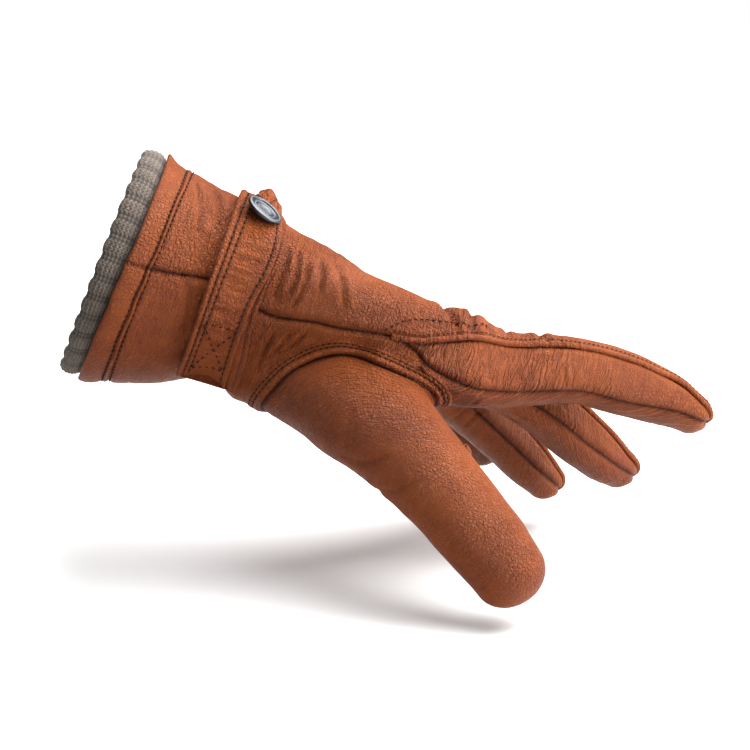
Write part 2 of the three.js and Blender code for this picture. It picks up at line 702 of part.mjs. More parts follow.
// A cone from the oval's seed through the seam, to trim the palm's thumb hole.
function thumbCutter() {
  const near = [];
  const far = [];
  for (let i = 0; i < thumbSides; i++) {
    const ray = ovalRay(i / thumbSides, 1);
    near.push(ray.seed.clone().addScaledVector(ray.direction, 6));
    far.push(ray.seed.clone().addScaledVector(ray.direction, 75));
  }
  return loftSolid([near, far]);
}

// Rings of equal length joined into a closed solid with flat fans at both ends.
function loftSolid(rings) {
  const points = rings.flat();
  const count = rings[0].length;
  const triangles = [];
  for (let ring = 0; ring < rings.length - 1; ring++) {
    for (let i = 0; i < count; i++) {
      const a = ring * count + i;
      const b = ring * count + ((i + 1) % count);
      triangles.push([a, b, b + count], [a, b + count, a + count]);
    }
  }
  [rings[0], rings[rings.length - 1]].forEach((ring, end) => {
    const middle = ring.reduce((sum, point) => sum.add(point), new THREE.Vector3()).divideScalar(count);
    const base = end === 0 ? 0 : (rings.length - 1) * count;
    points.push(middle);
    for (let i = 0; i < count; i++) {
      const a = base + i;
      const b = base + ((i + 1) % count);
      triangles.push(end === 0 ? [b, a, points.length - 1] : [a, b, points.length - 1]);
    }
  });
  return closedGeometry(points, triangles);
}

// A point on the cuff at a share of the arm's line and an angle from the top, raised off the leather.
function armPoint(share, angle, raise) {
  const ray = fanRay(stationAt(body, share), angle);
  return landing(gloveField, ray).addScaledVector(ray.direction, raise);
}

// A band all round the arm: a closed profile of distances along the arm and heights off the leather.
function roundBand(profile, sides, ripple = () => 0) {
  const points = [];
  for (let i = 0; i < sides; i++) {
    const angle = (i / sides) * 2 * Math.PI;
    for (const row of profile) {
      points.push(armPoint(shareAt(slanted(row.x, angle)), angle, row.raise + ripple(i, row)));
    }
  }
  const count = profile.length;
  const triangles = [];
  for (let i = 0; i < sides; i++) {
    const next = ((i + 1) % sides) * count;
    for (let k = 0; k < count; k++) {
      const a = i * count + k;
      const b = i * count + ((k + 1) % count);
      const c = next + ((k + 1) % count);
      const d = next + k;
      triangles.push([a, b, c], [a, c, d]);
    }
  }
  return closedGeometry(points, triangles);
}

// A band part of the way round the arm, with its edges from a table by angle.
function partBand(rows, lift, thickness, cells) {
  const first = rows[0].angle;
  const last = rows[rows.length - 1].angle;
  const count = Math.round((last - first) / bandStep);
  const rings = [];
  for (let i = 0; i <= count; i++) {
    const angle = lerp(first, last, i / count);
    let k = 0;
    while (k < rows.length - 2 && rows[k + 1].angle < angle) k += 1;
    const part = (angle - rows[k].angle) / (rows[k + 1].angle - rows[k].angle);
    const left = smoothRow(rows, k, part, 'left');
    const right = smoothRow(rows, k, part, 'right');
    const rise = smoothRow(rows, k, part, 'rise');
    const at = (j, raise) => armPoint(shareAt(lerp(left, right, j / cells)), angle * degrees, raise + rise);
    const steps = [...Array(cells + 1).keys()];
    const over = steps.map((j) => at(j, lift + thickness));
    const under = steps.map((j) => at(j, lift)).reverse();
    rings.push([...over, ...under]);
  }
  return loftSolid(rings);
}

// The strap: its two edges along the arm at angles from the top, thumb side negative, and how far it
// rises above where it would lie
const STRAP = [
  { angle: -152, left: 33.6, right: 56.0, rise: 0.3 },
  { angle: -133, left: 35.5, right: 56.0, rise: 0.3 },
  { angle: -116, left: 37.0, right: 56.6, rise: 0.2 },
  { angle: -95, left: 38.9, right: 58.2, rise: 0 },
  { angle: -80, left: 40.2, right: 60.8, rise: 0 },
  { angle: -65, left: 41.4, right: 62.3, rise: 0 },
  { angle: -50, left: 42.4, right: 61.9, rise: 0 },
  { angle: -33, left: 43.4, right: 59.8, rise: 0 },
  { angle: -17, left: 44.3, right: 56.0, rise: 0 },
];
const TAB = [
  { angle: -152, left: 40.0, right: 60.8, rise: 0.2 },
  { angle: -133, left: 41.0, right: 61.2, rise: 0.2 },
  { angle: -116, left: 42.0, right: 60.3, rise: 0.1 },
  { angle: -90, left: 43.4, right: 61.0, rise: 0 },
  { angle: -64, left: 44.0, right: 64.4, rise: 0 },
  { angle: -48, left: 44.0, right: 64.6, rise: 0 },
  { angle: -27, left: 44.6, right: 62.6, rise: 0 },
  { angle: -14, left: 48.0, right: 60.2, rise: 0 },
  { angle: -3, left: 50.0, right: 59.6, rise: 2.4 },
  { angle: 8, left: 50.0, right: 59.5, rise: 3.6 },
  { angle: 24, left: 49.0, right: 60.5, rise: 2.0 },
  { angle: 50, left: 46.0, right: 62.5, rise: 0.3 },
  { angle: 91, left: 45.0, right: 62.0, rise: 0 },
];
const bandStep = 9;
const tabLift = fit + 0.4;
const strapLift = tabLift + tabThickness + fit;
const snapPlace = { x: 51.4, angle: -36 };
const snapOut = new THREE.Vector3(0.55, -0.46, 0.7).normalize(); // the way the snap faces
const snapPost = { radius: 2.2, hole: 2.7 };

// The knit: distances along the arm, heights of its outside off the leather's line, and how much
// of the ribs shows there
const KNIT = [
  { x: 2.4, raise: -1.5, rib: 0.7 },
  { x: 5.4, raise: -1.1, rib: 1 },
  { x: 8.2, raise: -1.9, rib: 0.7 },
  { x: 10.8, raise: -3.8, rib: 0.15 },
  { x: 19.0, raise: -3.2, rib: 0.1 },
  { x: 32.0, raise: -2.6, rib: 0.1 },
];

function knitGeometry() {
  const inside = [KNIT[5], KNIT[3], KNIT[0]].map((row) => ({ ...row, raise: row.raise - knitThickness }));
  const rim = { x: 1.5, raise: KNIT[0].raise - knitThickness / 2, rib: 0.5 };
  const wave = (i, row) => Math.cos((i * Math.PI) / 2) * 0.5 * ribDepth * row.rib;
  return roundBand([...KNIT, ...inside, rim], knitRibs * 4, wave);
}

function hemGeometry() {
  const profile = [
    { x: 9.5, raise: -0.8 },
    { x: 10.3, raise: 0.2 },
    { x: 13.6, raise: 0.4 },
    { x: 17.6, raise: -0.2 },
    { x: 17.4, raise: -hemThickness + 0.2 },
    { x: 10.5, raise: -hemThickness + 0.1 },
    { x: 9.7, raise: -hemThickness + 0.8 },
  ];
  return roundBand(profile, 40);
}

// The frame of the snap: its middle on the leather and the way it faces.
function snapFrame() {
  const share = shareAt(snapPlace.x);
  const angle = snapPlace.angle * degrees;
  const middle = armPoint(share, angle, 0);
  const turn = new THREE.Quaternion().setFromUnitVectors(new THREE.Vector3(0, 1, 0), snapOut);
  return { middle, turn };
}

function turnedDisc(profile, sides) {
  const geometry = new THREE.LatheGeometry(profile.map(([r, h]) => new THREE.Vector2(r, h)), sides);
  const { middle, turn } = snapFrame();
  geometry.applyQuaternion(turn);
  geometry.translate(middle.x, middle.y, middle.z);
  return geometryOf(solidOf(geometry));
}

const strapTop = strapLift + strapThickness;
const capGap = 0.7; // from the strap's line to the foot of the snap's cap

function snapCapGeometry() {
  const foot = strapTop + capGap;
  const rim = foot + 1.5;
  return turnedDisc([
    [0, foot],
    [snapRadius - 0.8, foot],
    [snapRadius, foot + 0.5],
    [snapRadius, rim - 0.4],
    [snapRadius - 0.7, rim],
    [snapRadius - 1.5, rim - 0.1],
    [snapRadius - 2.0, rim - 0.5],
    [snapRadius - 3.6, rim - 0.4],
    [0, rim - 0.2],
  ], 28);
}

function snapPostGeometry() {
  return turnedDisc([
    [0, tabLift],
    [snapPost.radius, tabLift],
    [snapPost.radius, strapTop + capGap - fit],
    [0, strapTop + capGap - fit],
  ], 12);
}

function withSnapHole(geometry) {
  const hole = turnedDisc([[0, -4], [snapPost.hole, -4], [snapPost.hole, 12], [0, 12]], 12);
  return geometryOf(solidOf(geometry).subtract(solidOf(hole)));
}

const leather = { color: 0x9a5229, roughness: 0.55, metalness: 0 };
const knit = { color: 0xa39384, roughness: 0.95, metalness: 0 };
const gunmetal = { color: 0x6f7178, roughness: 0.35, metalness: 1 };

function piece(name, geometry, finish) {
  geometry.computeVertexNormals();
  const mesh = new THREE.Mesh(geometry, new THREE.MeshStandardMaterial(finish));
  mesh.name = name;
  return mesh;
}

const inThumb = (point) => ovalPlace(point).reach < holeMargin + 0.01;
const palm = panelSkin('palm', gloveField, inThumb).wall(wall);
const palmTrimmed = geometryOf(solidOf(palm).subtract(solidOf(thumbCutter())));

const glove = new THREE.Group();
glove.add(
  piece('back_panel', panelSkin('back', gloveField).wall(wall), leather),
  piece('palm_panel', palmTrimmed, leather),
  piece('index_side', indexSideSkin(gloveField).wall(wall), leather),
  piece('fourchette_index_middle', fourchetteSkin(0, gloveField).wall(wall), leather),
  piece('fourchette_middle_ring', fourchetteSkin(1, gloveField).wall(wall), leather),
  piece('fourchette_ring_little', fourchetteSkin(2, gloveField).wall(wall), leather),
  piece('thumb', thumbSkin(gloveField).wall(wall), leather),
  piece('cuff_hem', hemGeometry(), leather),
  piece('knit_cuff', knitGeometry(), knit),
  piece('strap', withSnapHole(partBand(STRAP, strapLift, strapThickness, 3)), leather),
  piece('strap_tab', withSnapHole(partBand(TAB, tabLift, tabThickness, 3)), leather),
  piece('snap_cap', snapCapGeometry(), gunmetal),
  piece('snap_post', snapPostGeometry(), gunmetal),
);
const mouth = new THREE.Vector3(BODY[1].x, BODY[1].y, BODY[1].z);
glove.position.copy(mouth.negate());

const tilted = new THREE.Group();
tilted.add(glove);
tilted.rotation.x = -tilt;

export default tilted;
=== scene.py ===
"""Tan deerskin glove with a knitted cuff, dressed over its CAD model.

The glove is worked out in millimetres in its pattern frame: x from the cuff to the fingertips, y away
from the camera, z up. The last step turns every point into the model's frame and into metres.
"""

import math

import bpy
import numpy as np
from bpy.props import FloatProperty, FloatVectorProperty, PointerProperty
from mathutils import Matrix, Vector


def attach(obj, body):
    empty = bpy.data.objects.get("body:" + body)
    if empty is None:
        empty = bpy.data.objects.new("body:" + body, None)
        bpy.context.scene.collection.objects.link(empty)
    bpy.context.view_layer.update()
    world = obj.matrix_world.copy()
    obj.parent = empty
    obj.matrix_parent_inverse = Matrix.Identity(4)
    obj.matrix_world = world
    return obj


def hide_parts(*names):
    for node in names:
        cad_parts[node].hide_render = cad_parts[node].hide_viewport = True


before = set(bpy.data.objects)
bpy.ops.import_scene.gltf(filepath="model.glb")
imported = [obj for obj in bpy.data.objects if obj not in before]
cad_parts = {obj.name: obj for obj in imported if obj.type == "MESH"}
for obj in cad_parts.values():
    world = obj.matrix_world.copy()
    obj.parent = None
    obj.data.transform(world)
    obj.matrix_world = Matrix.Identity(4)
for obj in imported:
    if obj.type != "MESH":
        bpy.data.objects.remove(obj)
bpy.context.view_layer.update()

bl_info = {
    "name": "Deerskin Glove",
    "version": (1, 0, 0),
    "blender": (4, 5, 0),
    "location": "View3D > Sidebar > Glove",
    "description": "Builds the leather, knit, strap, snap and stitches of a winter glove",
    "category": "Add Mesh",
}

# The pattern's place in the model's frame
MOUTH = np.array([0.0, -8.0, 0.0])
TILT = math.radians(14)
METRE = 0.001

# The photograph's camera, in the pattern frame, and the size of one of its pixels at y = 0
EYE = np.array([104.5, -750.0, -44.3])
PIXEL = 0.385
MIDDLE_PIXEL = 375.0


def columns(names, rows):
    """A short table as a dictionary of named columns."""
    values = np.array(rows, float)
    return {name: values[:, i] for i, name in enumerate(names.split())}


SECTION = "x y z side up down power"
BODY = columns(SECTION + " seam roll", [
    (-8.0, -9.1, 3.6, 37.5, 44.6, 44.6, 2.0, 90, 0),
    (0.0, -8.0, 0.0, 37.5, 45.4, 45.0, 2.0, 90, 0),
    (9.0, -6.8, -3.4, 38.0, 46.8, 45.6, 2.0, 90, 0),
    (17.3, -5.6, -5.8, 36.6, 44.4, 42.6, 2.0, 90, 0),
    (30.2, -3.9, -7.9, 35.2, 40.4, 40.0, 2.1, 90, 0),
    (42.1, -2.3, -10.0, 33.2, 36.2, 36.0, 2.15, 90, 0),
    (51.8, -1.1, -12.5, 32.2, 34.8, 34.0, 2.2, 97, 0),
    (64.8, 0.0, -16.0, 33.6, 29.4, 30.0, 2.3, 109, -1),
    (80.0, 0.4, -19.8, 37.6, 25.0, 25.0, 2.4, 117, -4),
    (94.0, 0.8, -25.0, 41.0, 19.0, 22.0, 2.5, 122, -8),
    (108.0, 1.6, -30.2, 42.5, 15.8, 19.0, 2.5, 120, -12),
    (120.0, 2.5, -35.6, 40.5, 14.4, 17.0, 2.5, 118, -14),
])
FINGERS = [
    columns(SECTION, [
        (108.2, -28.0, -35.0, 10.5, 15.5, 15.0, 2.2),
        (134.2, -27.0, -39.5, 11.5, 19.4, 16.5, 2.2),
        (151.2, -22.3, -42.1, 11.2, 15.0, 14.8, 2.2),
        (168.4, -17.6, -42.2, 11.2, 13.4, 13.4, 2.2),
        (181.9, -14.2, -42.8, 11.2, 12.9, 12.6, 2.2),
        (193.6, -11.6, -45.8, 10.9, 12.6, 12.4, 2.2),
        (205.3, -9.0, -49.2, 10.5, 11.2, 12.0, 2.1),
        (217.2, -6.1, -53.8, 9.8, 9.2, 10.4, 2.1),
        (225.4, -4.0, -58.8, 8.6, 7.4, 8.0, 2.0),
    ]),
    columns(SECTION, [
        (110.0, -7.0, -34.0, 11.0, 13.0, 13.0, 2.2),
        (139.0, -3.1, -40.5, 11.2, 13.0, 13.5, 2.2),
        (156.9, 5.6, -48.2, 10.6, 12.0, 12.0, 2.2),
        (171.0, 12.4, -57.6, 10.8, 11.6, 11.4, 2.2),
        (181.4, 18.5, -66.0, 10.6, 11.4, 11.0, 2.2),
        (189.4, 23.2, -72.5, 10.2, 11.0, 10.6, 2.1),
        (197.0, 28.2, -78.8, 9.4, 10.6, 9.2, 2.1),
        (201.8, 31.4, -82.0, 8.2, 8.8, 7.6, 2.0),
    ]),
    columns(SECTION, [
        (104.0, 13.0, -34.0, 10.6, 12.0, 12.0, 2.2),
        (126.2, 17.6, -44.3, 11.4, 12.0, 12.0, 2.2),
        (142.5, 29.8, -57.5, 10.2, 10.6, 10.6, 2.2),
        (152.6, 37.1, -66.5, 10.0, 10.0, 10.0, 2.2),
        (160.2, 42.6, -73.8, 9.8, 9.8, 9.6, 2.1),
        (167.0, 47.6, -80.8, 9.4, 9.4, 9.2, 2.1),
        (174.5, 53.6, -88.0, 8.0, 7.8, 7.8, 2.0),
    ]),
    columns(SECTION, [
        (94.5, 30.0, -33.0, 10.0, 12.0, 12.0, 2.2),
        (108.5, 32.5, -40.3, 11.2, 11.5, 11.5, 2.2),
        (118.0, 40.1, -47.6, 9.8, 10.0, 10.0, 2.2),
        (127.0, 47.9, -55.4, 9.0, 9.2, 9.2, 2.2),
        (136.3, 54.8, -62.9, 8.8, 9.0, 9.0, 2.1),
        (143.0, 60.0, -69.2, 8.4, 8.6, 8.6, 2.1),
        (150.0, 65.2, -75.4, 7.2, 7.2, 7.2, 2.0),
    ]),
]
KNUCKLES = columns(SECTION, [
    (137.0, -24.0, -39.5, 13.0, 12.0, 13.0, 2.2),
    (135.0, -8.0, -40.0, 14.0, 12.0, 13.0, 2.2),
    (128.5, 11.0, -42.5, 13.0, 11.0, 12.0, 2.2),
    (118.0, 30.0, -44.0, 12.0, 10.0, 11.0, 2.2),
])
THUMB = columns(SECTION, [
    (58.0, -11.5, -38.0, 17.0, 14.0, 14.6, 2.0),
    (70.0, -14.5, -42.0, 17.6, 15.5, 17.0, 2.0),
    (83.5, -20.0, -48.0, 19.0, 17.0, 19.0, 2.1),
    (96.5, -29.0, -55.0, 20.6, 17.5, 19.0, 2.1),
    (107.6, -38.0, -63.5, 19.2, 16.5, 17.6, 2.1),
    (117.8, -46.0, -73.6, 17.2, 14.8, 15.6, 2.1),
    (130.2, -53.0, -87.2, 15.8, 13.5, 13.8, 2.1),
    (143.0, -58.0, -102.4, 14.8, 12.8, 13.4, 2.1),
    (152.0, -60.0, -114.6, 13.4, 12.0, 13.0, 2.0),
])
# The closed line that the thumb is sewn in along
OVAL = columns("x y z", [
    (128, -37, -51.5),
    (112, -39, -41.5),
    (91, -40, -36.5),
    (70, -37, -43.5),
    (62, -28, -52),
    (72, -9, -51),
    (96, -2, -54),
    (116, -15, -57),
])
FINGER_BLEND = 5.0
THUMB_BLEND = 7.0
UP = np.array([0.0, 0.0, 1.0])
THUMB_TOP = np.array([-0.2, -1.0, 0.35])


# Points with no seam near them are given this distance to one
NO_SEAM = 99.0
# Points round the arm and along the thumb's seam
ROUND_STEPS = 420


# Small helpers

def unit(v):
    return v / np.maximum(np.linalg.norm(v, axis=-1, keepdims=True), 1e-12)


def smooth(low, high, value):
    """0 below low, 1 above high, and an S-curve between."""
    t = np.clip((value - low) / (high - low), 0.0, 1.0)
    return t * t * (3.0 - 2.0 * t)


def hump(value, width):
    """A bell: 1 at zero, falling to 1/e at the width."""
    return np.exp(-(value / width) ** 2)


def xyz(table):
    return np.stack([table["x"], table["y"], table["z"]], axis=-1)


def to_model(points):
    """Pattern millimetres to the model's metres: moved to the mouth, turned about X."""
    p = points - MOUTH
    c, s = math.cos(TILT), math.sin(TILT)
    turned = [p[..., 0], c * p[..., 1] + s * p[..., 2], c * p[..., 2] - s * p[..., 1]]
    return np.stack(turned, axis=-1) * METRE


def spline(points, closed=False, per=24):
    """Centripetal Catmull-Rom curve through the points, with per samples in each span."""
    p = np.asarray(points, float)
    if closed:
        q = np.vstack([p[-1:], p, p[:2]])
    else:
        q = np.vstack([2 * p[0] - p[1], p, 2 * p[-1] - p[-2]])
    a, b, c, d = q[:-3, None], q[1:-2, None], q[2:-1, None], q[3:, None]
    ab, bc, cd = [np.sqrt(np.linalg.norm(v, axis=-1, keepdims=True)) for v in (b - a, c - b, d - c)]
    first = ((b - a) / ab - (c - a) / (ab + bc) + (c - b) / bc) * bc
    second = ((c - b) / bc - (d - b) / (bc + cd) + (d - c) / cd) * bc
    t = np.linspace(0, 1, per, endpoint=False)[None, :, None]
    curve = (2 * t**3 - 3 * t**2 + 1) * b + (t**3 - 2 * t**2 + t) * first
    curve = curve + (3 * t**2 - 2 * t**3) * c + (t**3 - t**2) * second
    curve = curve.reshape(-1, p.shape[1])
    return curve if closed else np.vstack([curve, p[-1:]])


def lengths(line):
    """Distance along a polyline at each of its points."""
    return np.concatenate([[0.0], np.cumsum(np.linalg.norm(np.diff(line, axis=0), axis=-1))])


def along(line, at):
    """Points of a polyline at the given distances."""
    s = lengths(line)
    return np.stack([np.interp(at, s, line[:, k]) for k in range(line.shape[1])], axis=-1)


def cubic(values, at, new):
    """Smooth curve through values given at the places at, read at the places new."""
    gaps = np.diff(at)
    shape = (-1,) + (1,) * (values.ndim - 1)
    h = gaps.reshape(shape)
    steps = np.diff(values, axis=0) / h
    slopes = np.empty_like(values)
    slopes[0], slopes[-1] = steps[0], steps[-1]
    slopes[1:-1] = (steps[:-1] * h[1:] + steps[1:] * h[:-1]) / (h[1:] + h[:-1])
    i = np.clip(np.searchsorted(at, new, side="right") - 1, 0, len(at) - 2)
    t = ((new - at[i]) / gaps[i]).reshape(shape)
    step = gaps[i].reshape(shape)
    low = (2 * t**3 - 3 * t**2 + 1) * values[i] + (t**3 - 2 * t**2 + t) * slopes[i] * step
    return low + (3 * t**2 - 2 * t**3) * values[i + 1] + (t**3 - t**2) * slopes[i + 1] * step


# The form: tubes blended into one hand

class Tube:
    """A line with a rounded section that changes along it, cut into even stations."""

    def __init__(self, table, spacing, above, roll=0.0, cap=None):
        rows = xyz(table)
        line = spline(rows)
        total = lengths(line)[-1]
        count = int(round(total / spacing))
        share = np.linspace(0, 1, count + 1)
        self.share = share
        self.point = along(line, share * total)
        self.ahead = unit(np.gradient(self.point, axis=0))
        row_place = lengths(rows)
        names = [name for name in table if name not in "xyz"]
        for name in names:
            self.__dict__[name] = self.row_values(table[name], row_place, share * row_place[-1])
        turn = roll + (self.roll if "roll" in names else np.zeros(count + 1))
        turn = np.radians(turn)[:, None]
        across = unit(np.cross(above, self.ahead))
        lifted = np.cross(self.ahead, across)
        self.across = across * np.cos(turn) + lifted * np.sin(turn)
        self.top = np.cross(self.ahead, self.across)
        self.names = names + ["point", "ahead", "across", "top"]
        self.cap = cap if cap else self.side[-1] * 0.85

    @staticmethod
    def row_values(values, place, new):
        """The table's column at new places, on a Catmull-Rom curve through its rows."""
        k = np.clip(np.searchsorted(place, new, side="right") - 1, 0, len(place) - 2)
        t = np.clip((new - place[k]) / (place[k + 1] - place[k]), 0, 1)
        a, b = values[np.maximum(k - 1, 0)], values[k]
        c, d = values[k + 1], values[np.minimum(k + 2, len(values) - 1)]
        slope, after = (c - a) / 2, (d - b) / 2
        return b + slope * t + (3 * (c - b) - 2 * slope - after) * t**2 + (slope + after - 2 * (c - b)) * t**3

    def at(self, share):
        """The station at a share of the line, between its neighbours."""
        place = np.clip(share, 0, 1) * (len(self.share) - 1)
        i = np.minimum(place.astype(int), len(self.share) - 2)
        t = place - i
        station = {}
        for name in self.names:
            values = self.__dict__[name]
            w = t[:, None] if values.ndim == 2 else t
            station[name] = values[i] * (1 - w) + values[i + 1] * w
            if name in ("ahead", "across", "top"):
                station[name] = unit(station[name])
        return station

    def distance(self, p):
        """Roughly how far points are outside the section; inside it is negative."""
        start, chord = self.point[:-1], np.diff(self.point, axis=0)
        square = (chord**2).sum(-1)
        t = np.clip((p @ chord.T - (start * chord).sum(-1)) / square, 0, 1)
        gap = (p**2).sum(-1)[:, None] + (start**2).sum(-1) - 2 * (p @ start.T)
        gap = gap - 2 * t * (p @ chord.T - (start * chord).sum(-1)) + t**2 * square
        best = np.argmin(gap, axis=1)
        rows = np.arange(len(p))
        s = self.at((best + t[rows, best]) / (len(self.share) - 1))
        offset = p - s["point"]
        lead = (offset * s["ahead"]).sum(-1)
        x = np.abs((offset * s["across"]).sum(-1)) / s["side"]
        y = (offset * s["top"]).sum(-1)
        z = np.where(y > 0, y / s["up"], -y / s["down"])
        section = (x ** s["power"] + z ** s["power"]) ** (1 / s["power"])
        reach = np.hypot(section, lead / self.cap)
        inside = -np.minimum(s["side"], np.minimum(s["up"], s["down"]))
        far = np.linalg.norm(offset, axis=-1) * (1 - 1 / np.maximum(reach, 1e-6))
        return np.where(reach < 1e-6, inside, far)


body = Tube(BODY, 5.0, UP, cap=12.0)
fingers = [Tube(table, 4.5, UP, roll=-8.0) for table in FINGERS]
thumb = Tube(THUMB, 5.0, THUMB_TOP)
knuckles = Tube(KNUCKLES, 5.0, UP, cap=8.0)


def soft_min(a, b, softness):
    h = np.maximum(softness - np.abs(a - b), 0) / softness
    return np.minimum(a, b) - h * h * softness * 0.25


def hand_field(p):
    value = soft_min(body.distance(p), knuckles.distance(p), THUMB_BLEND)
    for finger in fingers:
        value = soft_min(value, finger.distance(p), FINGER_BLEND)
    return value


def glove_field(p):
    return soft_min(hand_field(p), thumb.distance(p), THUMB_BLEND)


def slope_of(field, p):
    """The outward direction at a point, from small steps each way."""
    step = 0.25
    parts = []
    for k in range(3):
        move = np.zeros(3)
        move[k] = step
        parts.append(field(p + move) - field(p - move))
    return unit(np.stack(parts, axis=-1))


def landing(field, seed, way, reach=90.0):
    """Where rays from inside leave the form: a march outwards, then a narrowing search."""
    shape = seed.shape
    seed, way = seed.reshape(-1, 3), way.reshape(-1, 3)
    near = np.zeros(len(seed))
    near_value = field(seed)
    far, far_value = near.copy(), near_value.copy()
    live = np.nonzero(far_value < 0)[0]
    while len(live):
        near[live], near_value[live] = far[live], far_value[live]
        far[live] += np.clip(-far_value[live] * 0.5, 0.5, 3.0)
        far_value[live] = field(seed[live] + way[live] * far[live, None])
        live = live[(far_value[live] < 0) & (far[live] < reach)]
    for _ in range(6):
        share = np.clip(near_value / np.minimum(near_value - far_value, -1e-9), 0.1, 0.9)
        middle = near + (far - near) * share
        value = field(seed + way * middle[:, None])
        inner = value < 0
        near, near_value = np.where(inner, middle, near), np.where(inner, value, near_value)
        far, far_value = np.where(inner, far, middle), np.where(inner, far_value, value)
    return (seed + way * ((near + far) / 2)[:, None]).reshape(shape)


def from_photo(pixels):
    """Points on the leather under pixels of the photograph, along the camera's own rays."""
    px = np.asarray(pixels, float)
    target = np.stack([
        EYE[0] + (px[:, 0] - MIDDLE_PIXEL) * PIXEL,
        np.zeros(len(px)),
        EYE[2] - (px[:, 1] - MIDDLE_PIXEL) * PIXEL,
    ], axis=-1)
    way = unit(target - EYE)
    t = np.full(len(px), 640.0)
    value = glove_field(EYE + way * t[:, None])
    for _ in range(90):
        t = t + np.clip(value * 0.7, -2.0, 8.0)
        value = glove_field(EYE + way * t[:, None])
    return EYE + way * t[:, None]


# Rays of the pattern: rows run along the hand and on along each finger

PANEL_START = 18.5
# How much further along the arm the cuff's lines lie at the back of the hand than at the side
SLANT = columns("x slant bend", [(1.5, -0.8, 0.0), (9.5, 3.2, 0.75), (17.3, 6.9, 2.8), (19.3, 7.2, 2.8)])
HAND_ROWS = 13
FINGER_START = (0.125, 0.08, 0.1, 0.15)
FINGER_ROWS = (13, 11, 10, 8)
TIP_TURNS = (0, 32, 60, 86)
MIX_ROWS = 3
EDGES = (-1, -0.46, 0.03, 0.53, 1)
MIDDLES = (-0.74, -0.22, 0.28, 0.78)
PARTING = ((11, 15.5), (17, 18.5), (16, 17.5), (16, 17.5))


def row_count(finger):
    return HAND_ROWS + FINGER_ROWS[finger] + 3


def share_at(x):
    return np.interp(x, body.point[:, 0], body.share)


def slanted(x, angle):
    """A distance along the arm with the slant of the cuff's lines at an angle from the top, in radians."""
    slant, bend = [np.interp(x, SLANT["x"], SLANT[name]) for name in ("slant", "bend")]
    return x + slant * np.cos(angle) + bend * (np.cos(angle) ** 2 - 0.25)


def mix(a, b, t):
    t = np.asarray(t)[..., None]
    return a[0] * (1 - t) + b[0] * t, unit(a[1] * (1 - t) + b[1] * t)


def fan(station, angle, shift=0.0):
    """A ray from a station's middle at an angle from its top."""
    angle = np.broadcast_to(angle, station["side"].shape)[:, None]
    shift = np.broadcast_to(shift, station["side"].shape)[:, None]
    way = station["across"] * np.sin(angle) + station["top"] * np.cos(angle)
    return station["point"] + station["across"] * shift, way


def hand_ray(row, place, side):
    last = 0.935 - 0.085 * place
    start = share_at(PANEL_START)
    done = np.minimum(row / HAND_ROWS, 1)
    even = start + (last - start) * done
    opened = smooth(0.3, 0.75, even)
    edge = np.radians(body.at(even)["seam"] if place < 0 else 90.0 + 0 * even)
    bend = np.abs(place) ** (1 + 0.6 * opened)
    turn = bend * edge if side == "back" else math.pi - bend * (math.pi - edge)
    station = body.at(even + (share_at(slanted(PANEL_START, turn)) - start) * (1 - done) ** 3)
    return fan(station, (1 if place >= 0 else -1) * turn, place * station["side"] * 0.62 * opened)


def finger_ray(finger, row, angle):
    own = row - HAND_ROWS
    start, rows = FINGER_START[finger], FINGER_ROWS[finger]
    inside = start * np.maximum(0, 1 + own / MIX_ROWS)
    share = np.where(own < 0, inside, start + (1 - start) * np.minimum(own / rows, 1))
    station = fingers[finger].at(share)
    seed, way = fan(station, angle)
    lean = np.radians(np.interp(own - rows, range(4), TIP_TURNS))[:, None]
    return seed, way * np.cos(lean) + station["ahead"] * np.sin(lean)


def hand_share(row):
    return smooth(HAND_ROWS - MIX_ROWS, HAND_ROWS + 2, row)


def seam_angle(finger, row, side, outer=False):
    """Degrees from the finger's top to the seam on either side; the index finger's outer one lies low."""
    close = smooth(HAND_ROWS + FINGER_ROWS[finger] * 0.7, row_count(finger), row)
    low = 140 if outer else 118
    return np.radians(52 + 28 * close if side == "back" else low - (low - 100) * close)


def border_ray(border, row, side):
    left = finger_ray(border - 1, row, seam_angle(border - 1, row, side))
    right = finger_ray(border, row, -seam_angle(border, row, side))
    return mix(hand_ray(row, EDGES[border], side), mix(left, right, 0.5 + 0 * row), hand_share(row))


def edge_ray(finger, hand, row, side):
    if finger == 3 and hand == 1:
        return mix(hand_ray(row, 1, side), finger_ray(3, row, math.pi / 2), hand_share(row))
    own = finger_ray(finger, row, hand * seam_angle(finger, row, side, (finger, hand) == (0, -1)))
    if finger == 0 and hand == -1:
        shared = mix(hand_ray(row, -1, side), finger_ray(0, row, -math.radians(95)), hand_share(row))
        return mix(shared, own, smooth(*PARTING[0], row))
    border = finger + 1 if hand == 1 else finger
    return mix(border_ray(border, row, side), own, smooth(*PARTING[border], row))


def centre_ray(finger, row, side):
    own = finger_ray(finger, row, 0.0 if side == "back" else math.pi)
    return mix(hand_ray(row, MIDDLES[finger], side), own, hand_share(row))


def curve_rays(first, middle, last, share, pull):
    """A grid of rays, each row a smooth turn from its first ray through the middle to the last."""
    w = np.stack([(1 - share) ** 2, 2 * share * (1 - share) * pull, share**2])
    w = (w / w.sum(0))[:, None, :, None]
    seeds = sum(w[i] * part[0][:, None] for i, part in enumerate((first, middle, last)))
    ways = sum(w[i] * part[1][:, None] for i, part in enumerate((first, middle, last)))
    return seeds, unit(ways)


# The thumb's seam as seen from a seed inside the hand

OVAL_SEED = np.array([96.0, -12.0, -28.0])
OVAL_OUT = unit(np.array([0.0, -0.55, -0.83]))
OVAL_ACROSS = unit(np.cross([1.0, 0, 0], OVAL_OUT))
oval_line = spline(xyz(OVAL), closed=True, per=40)


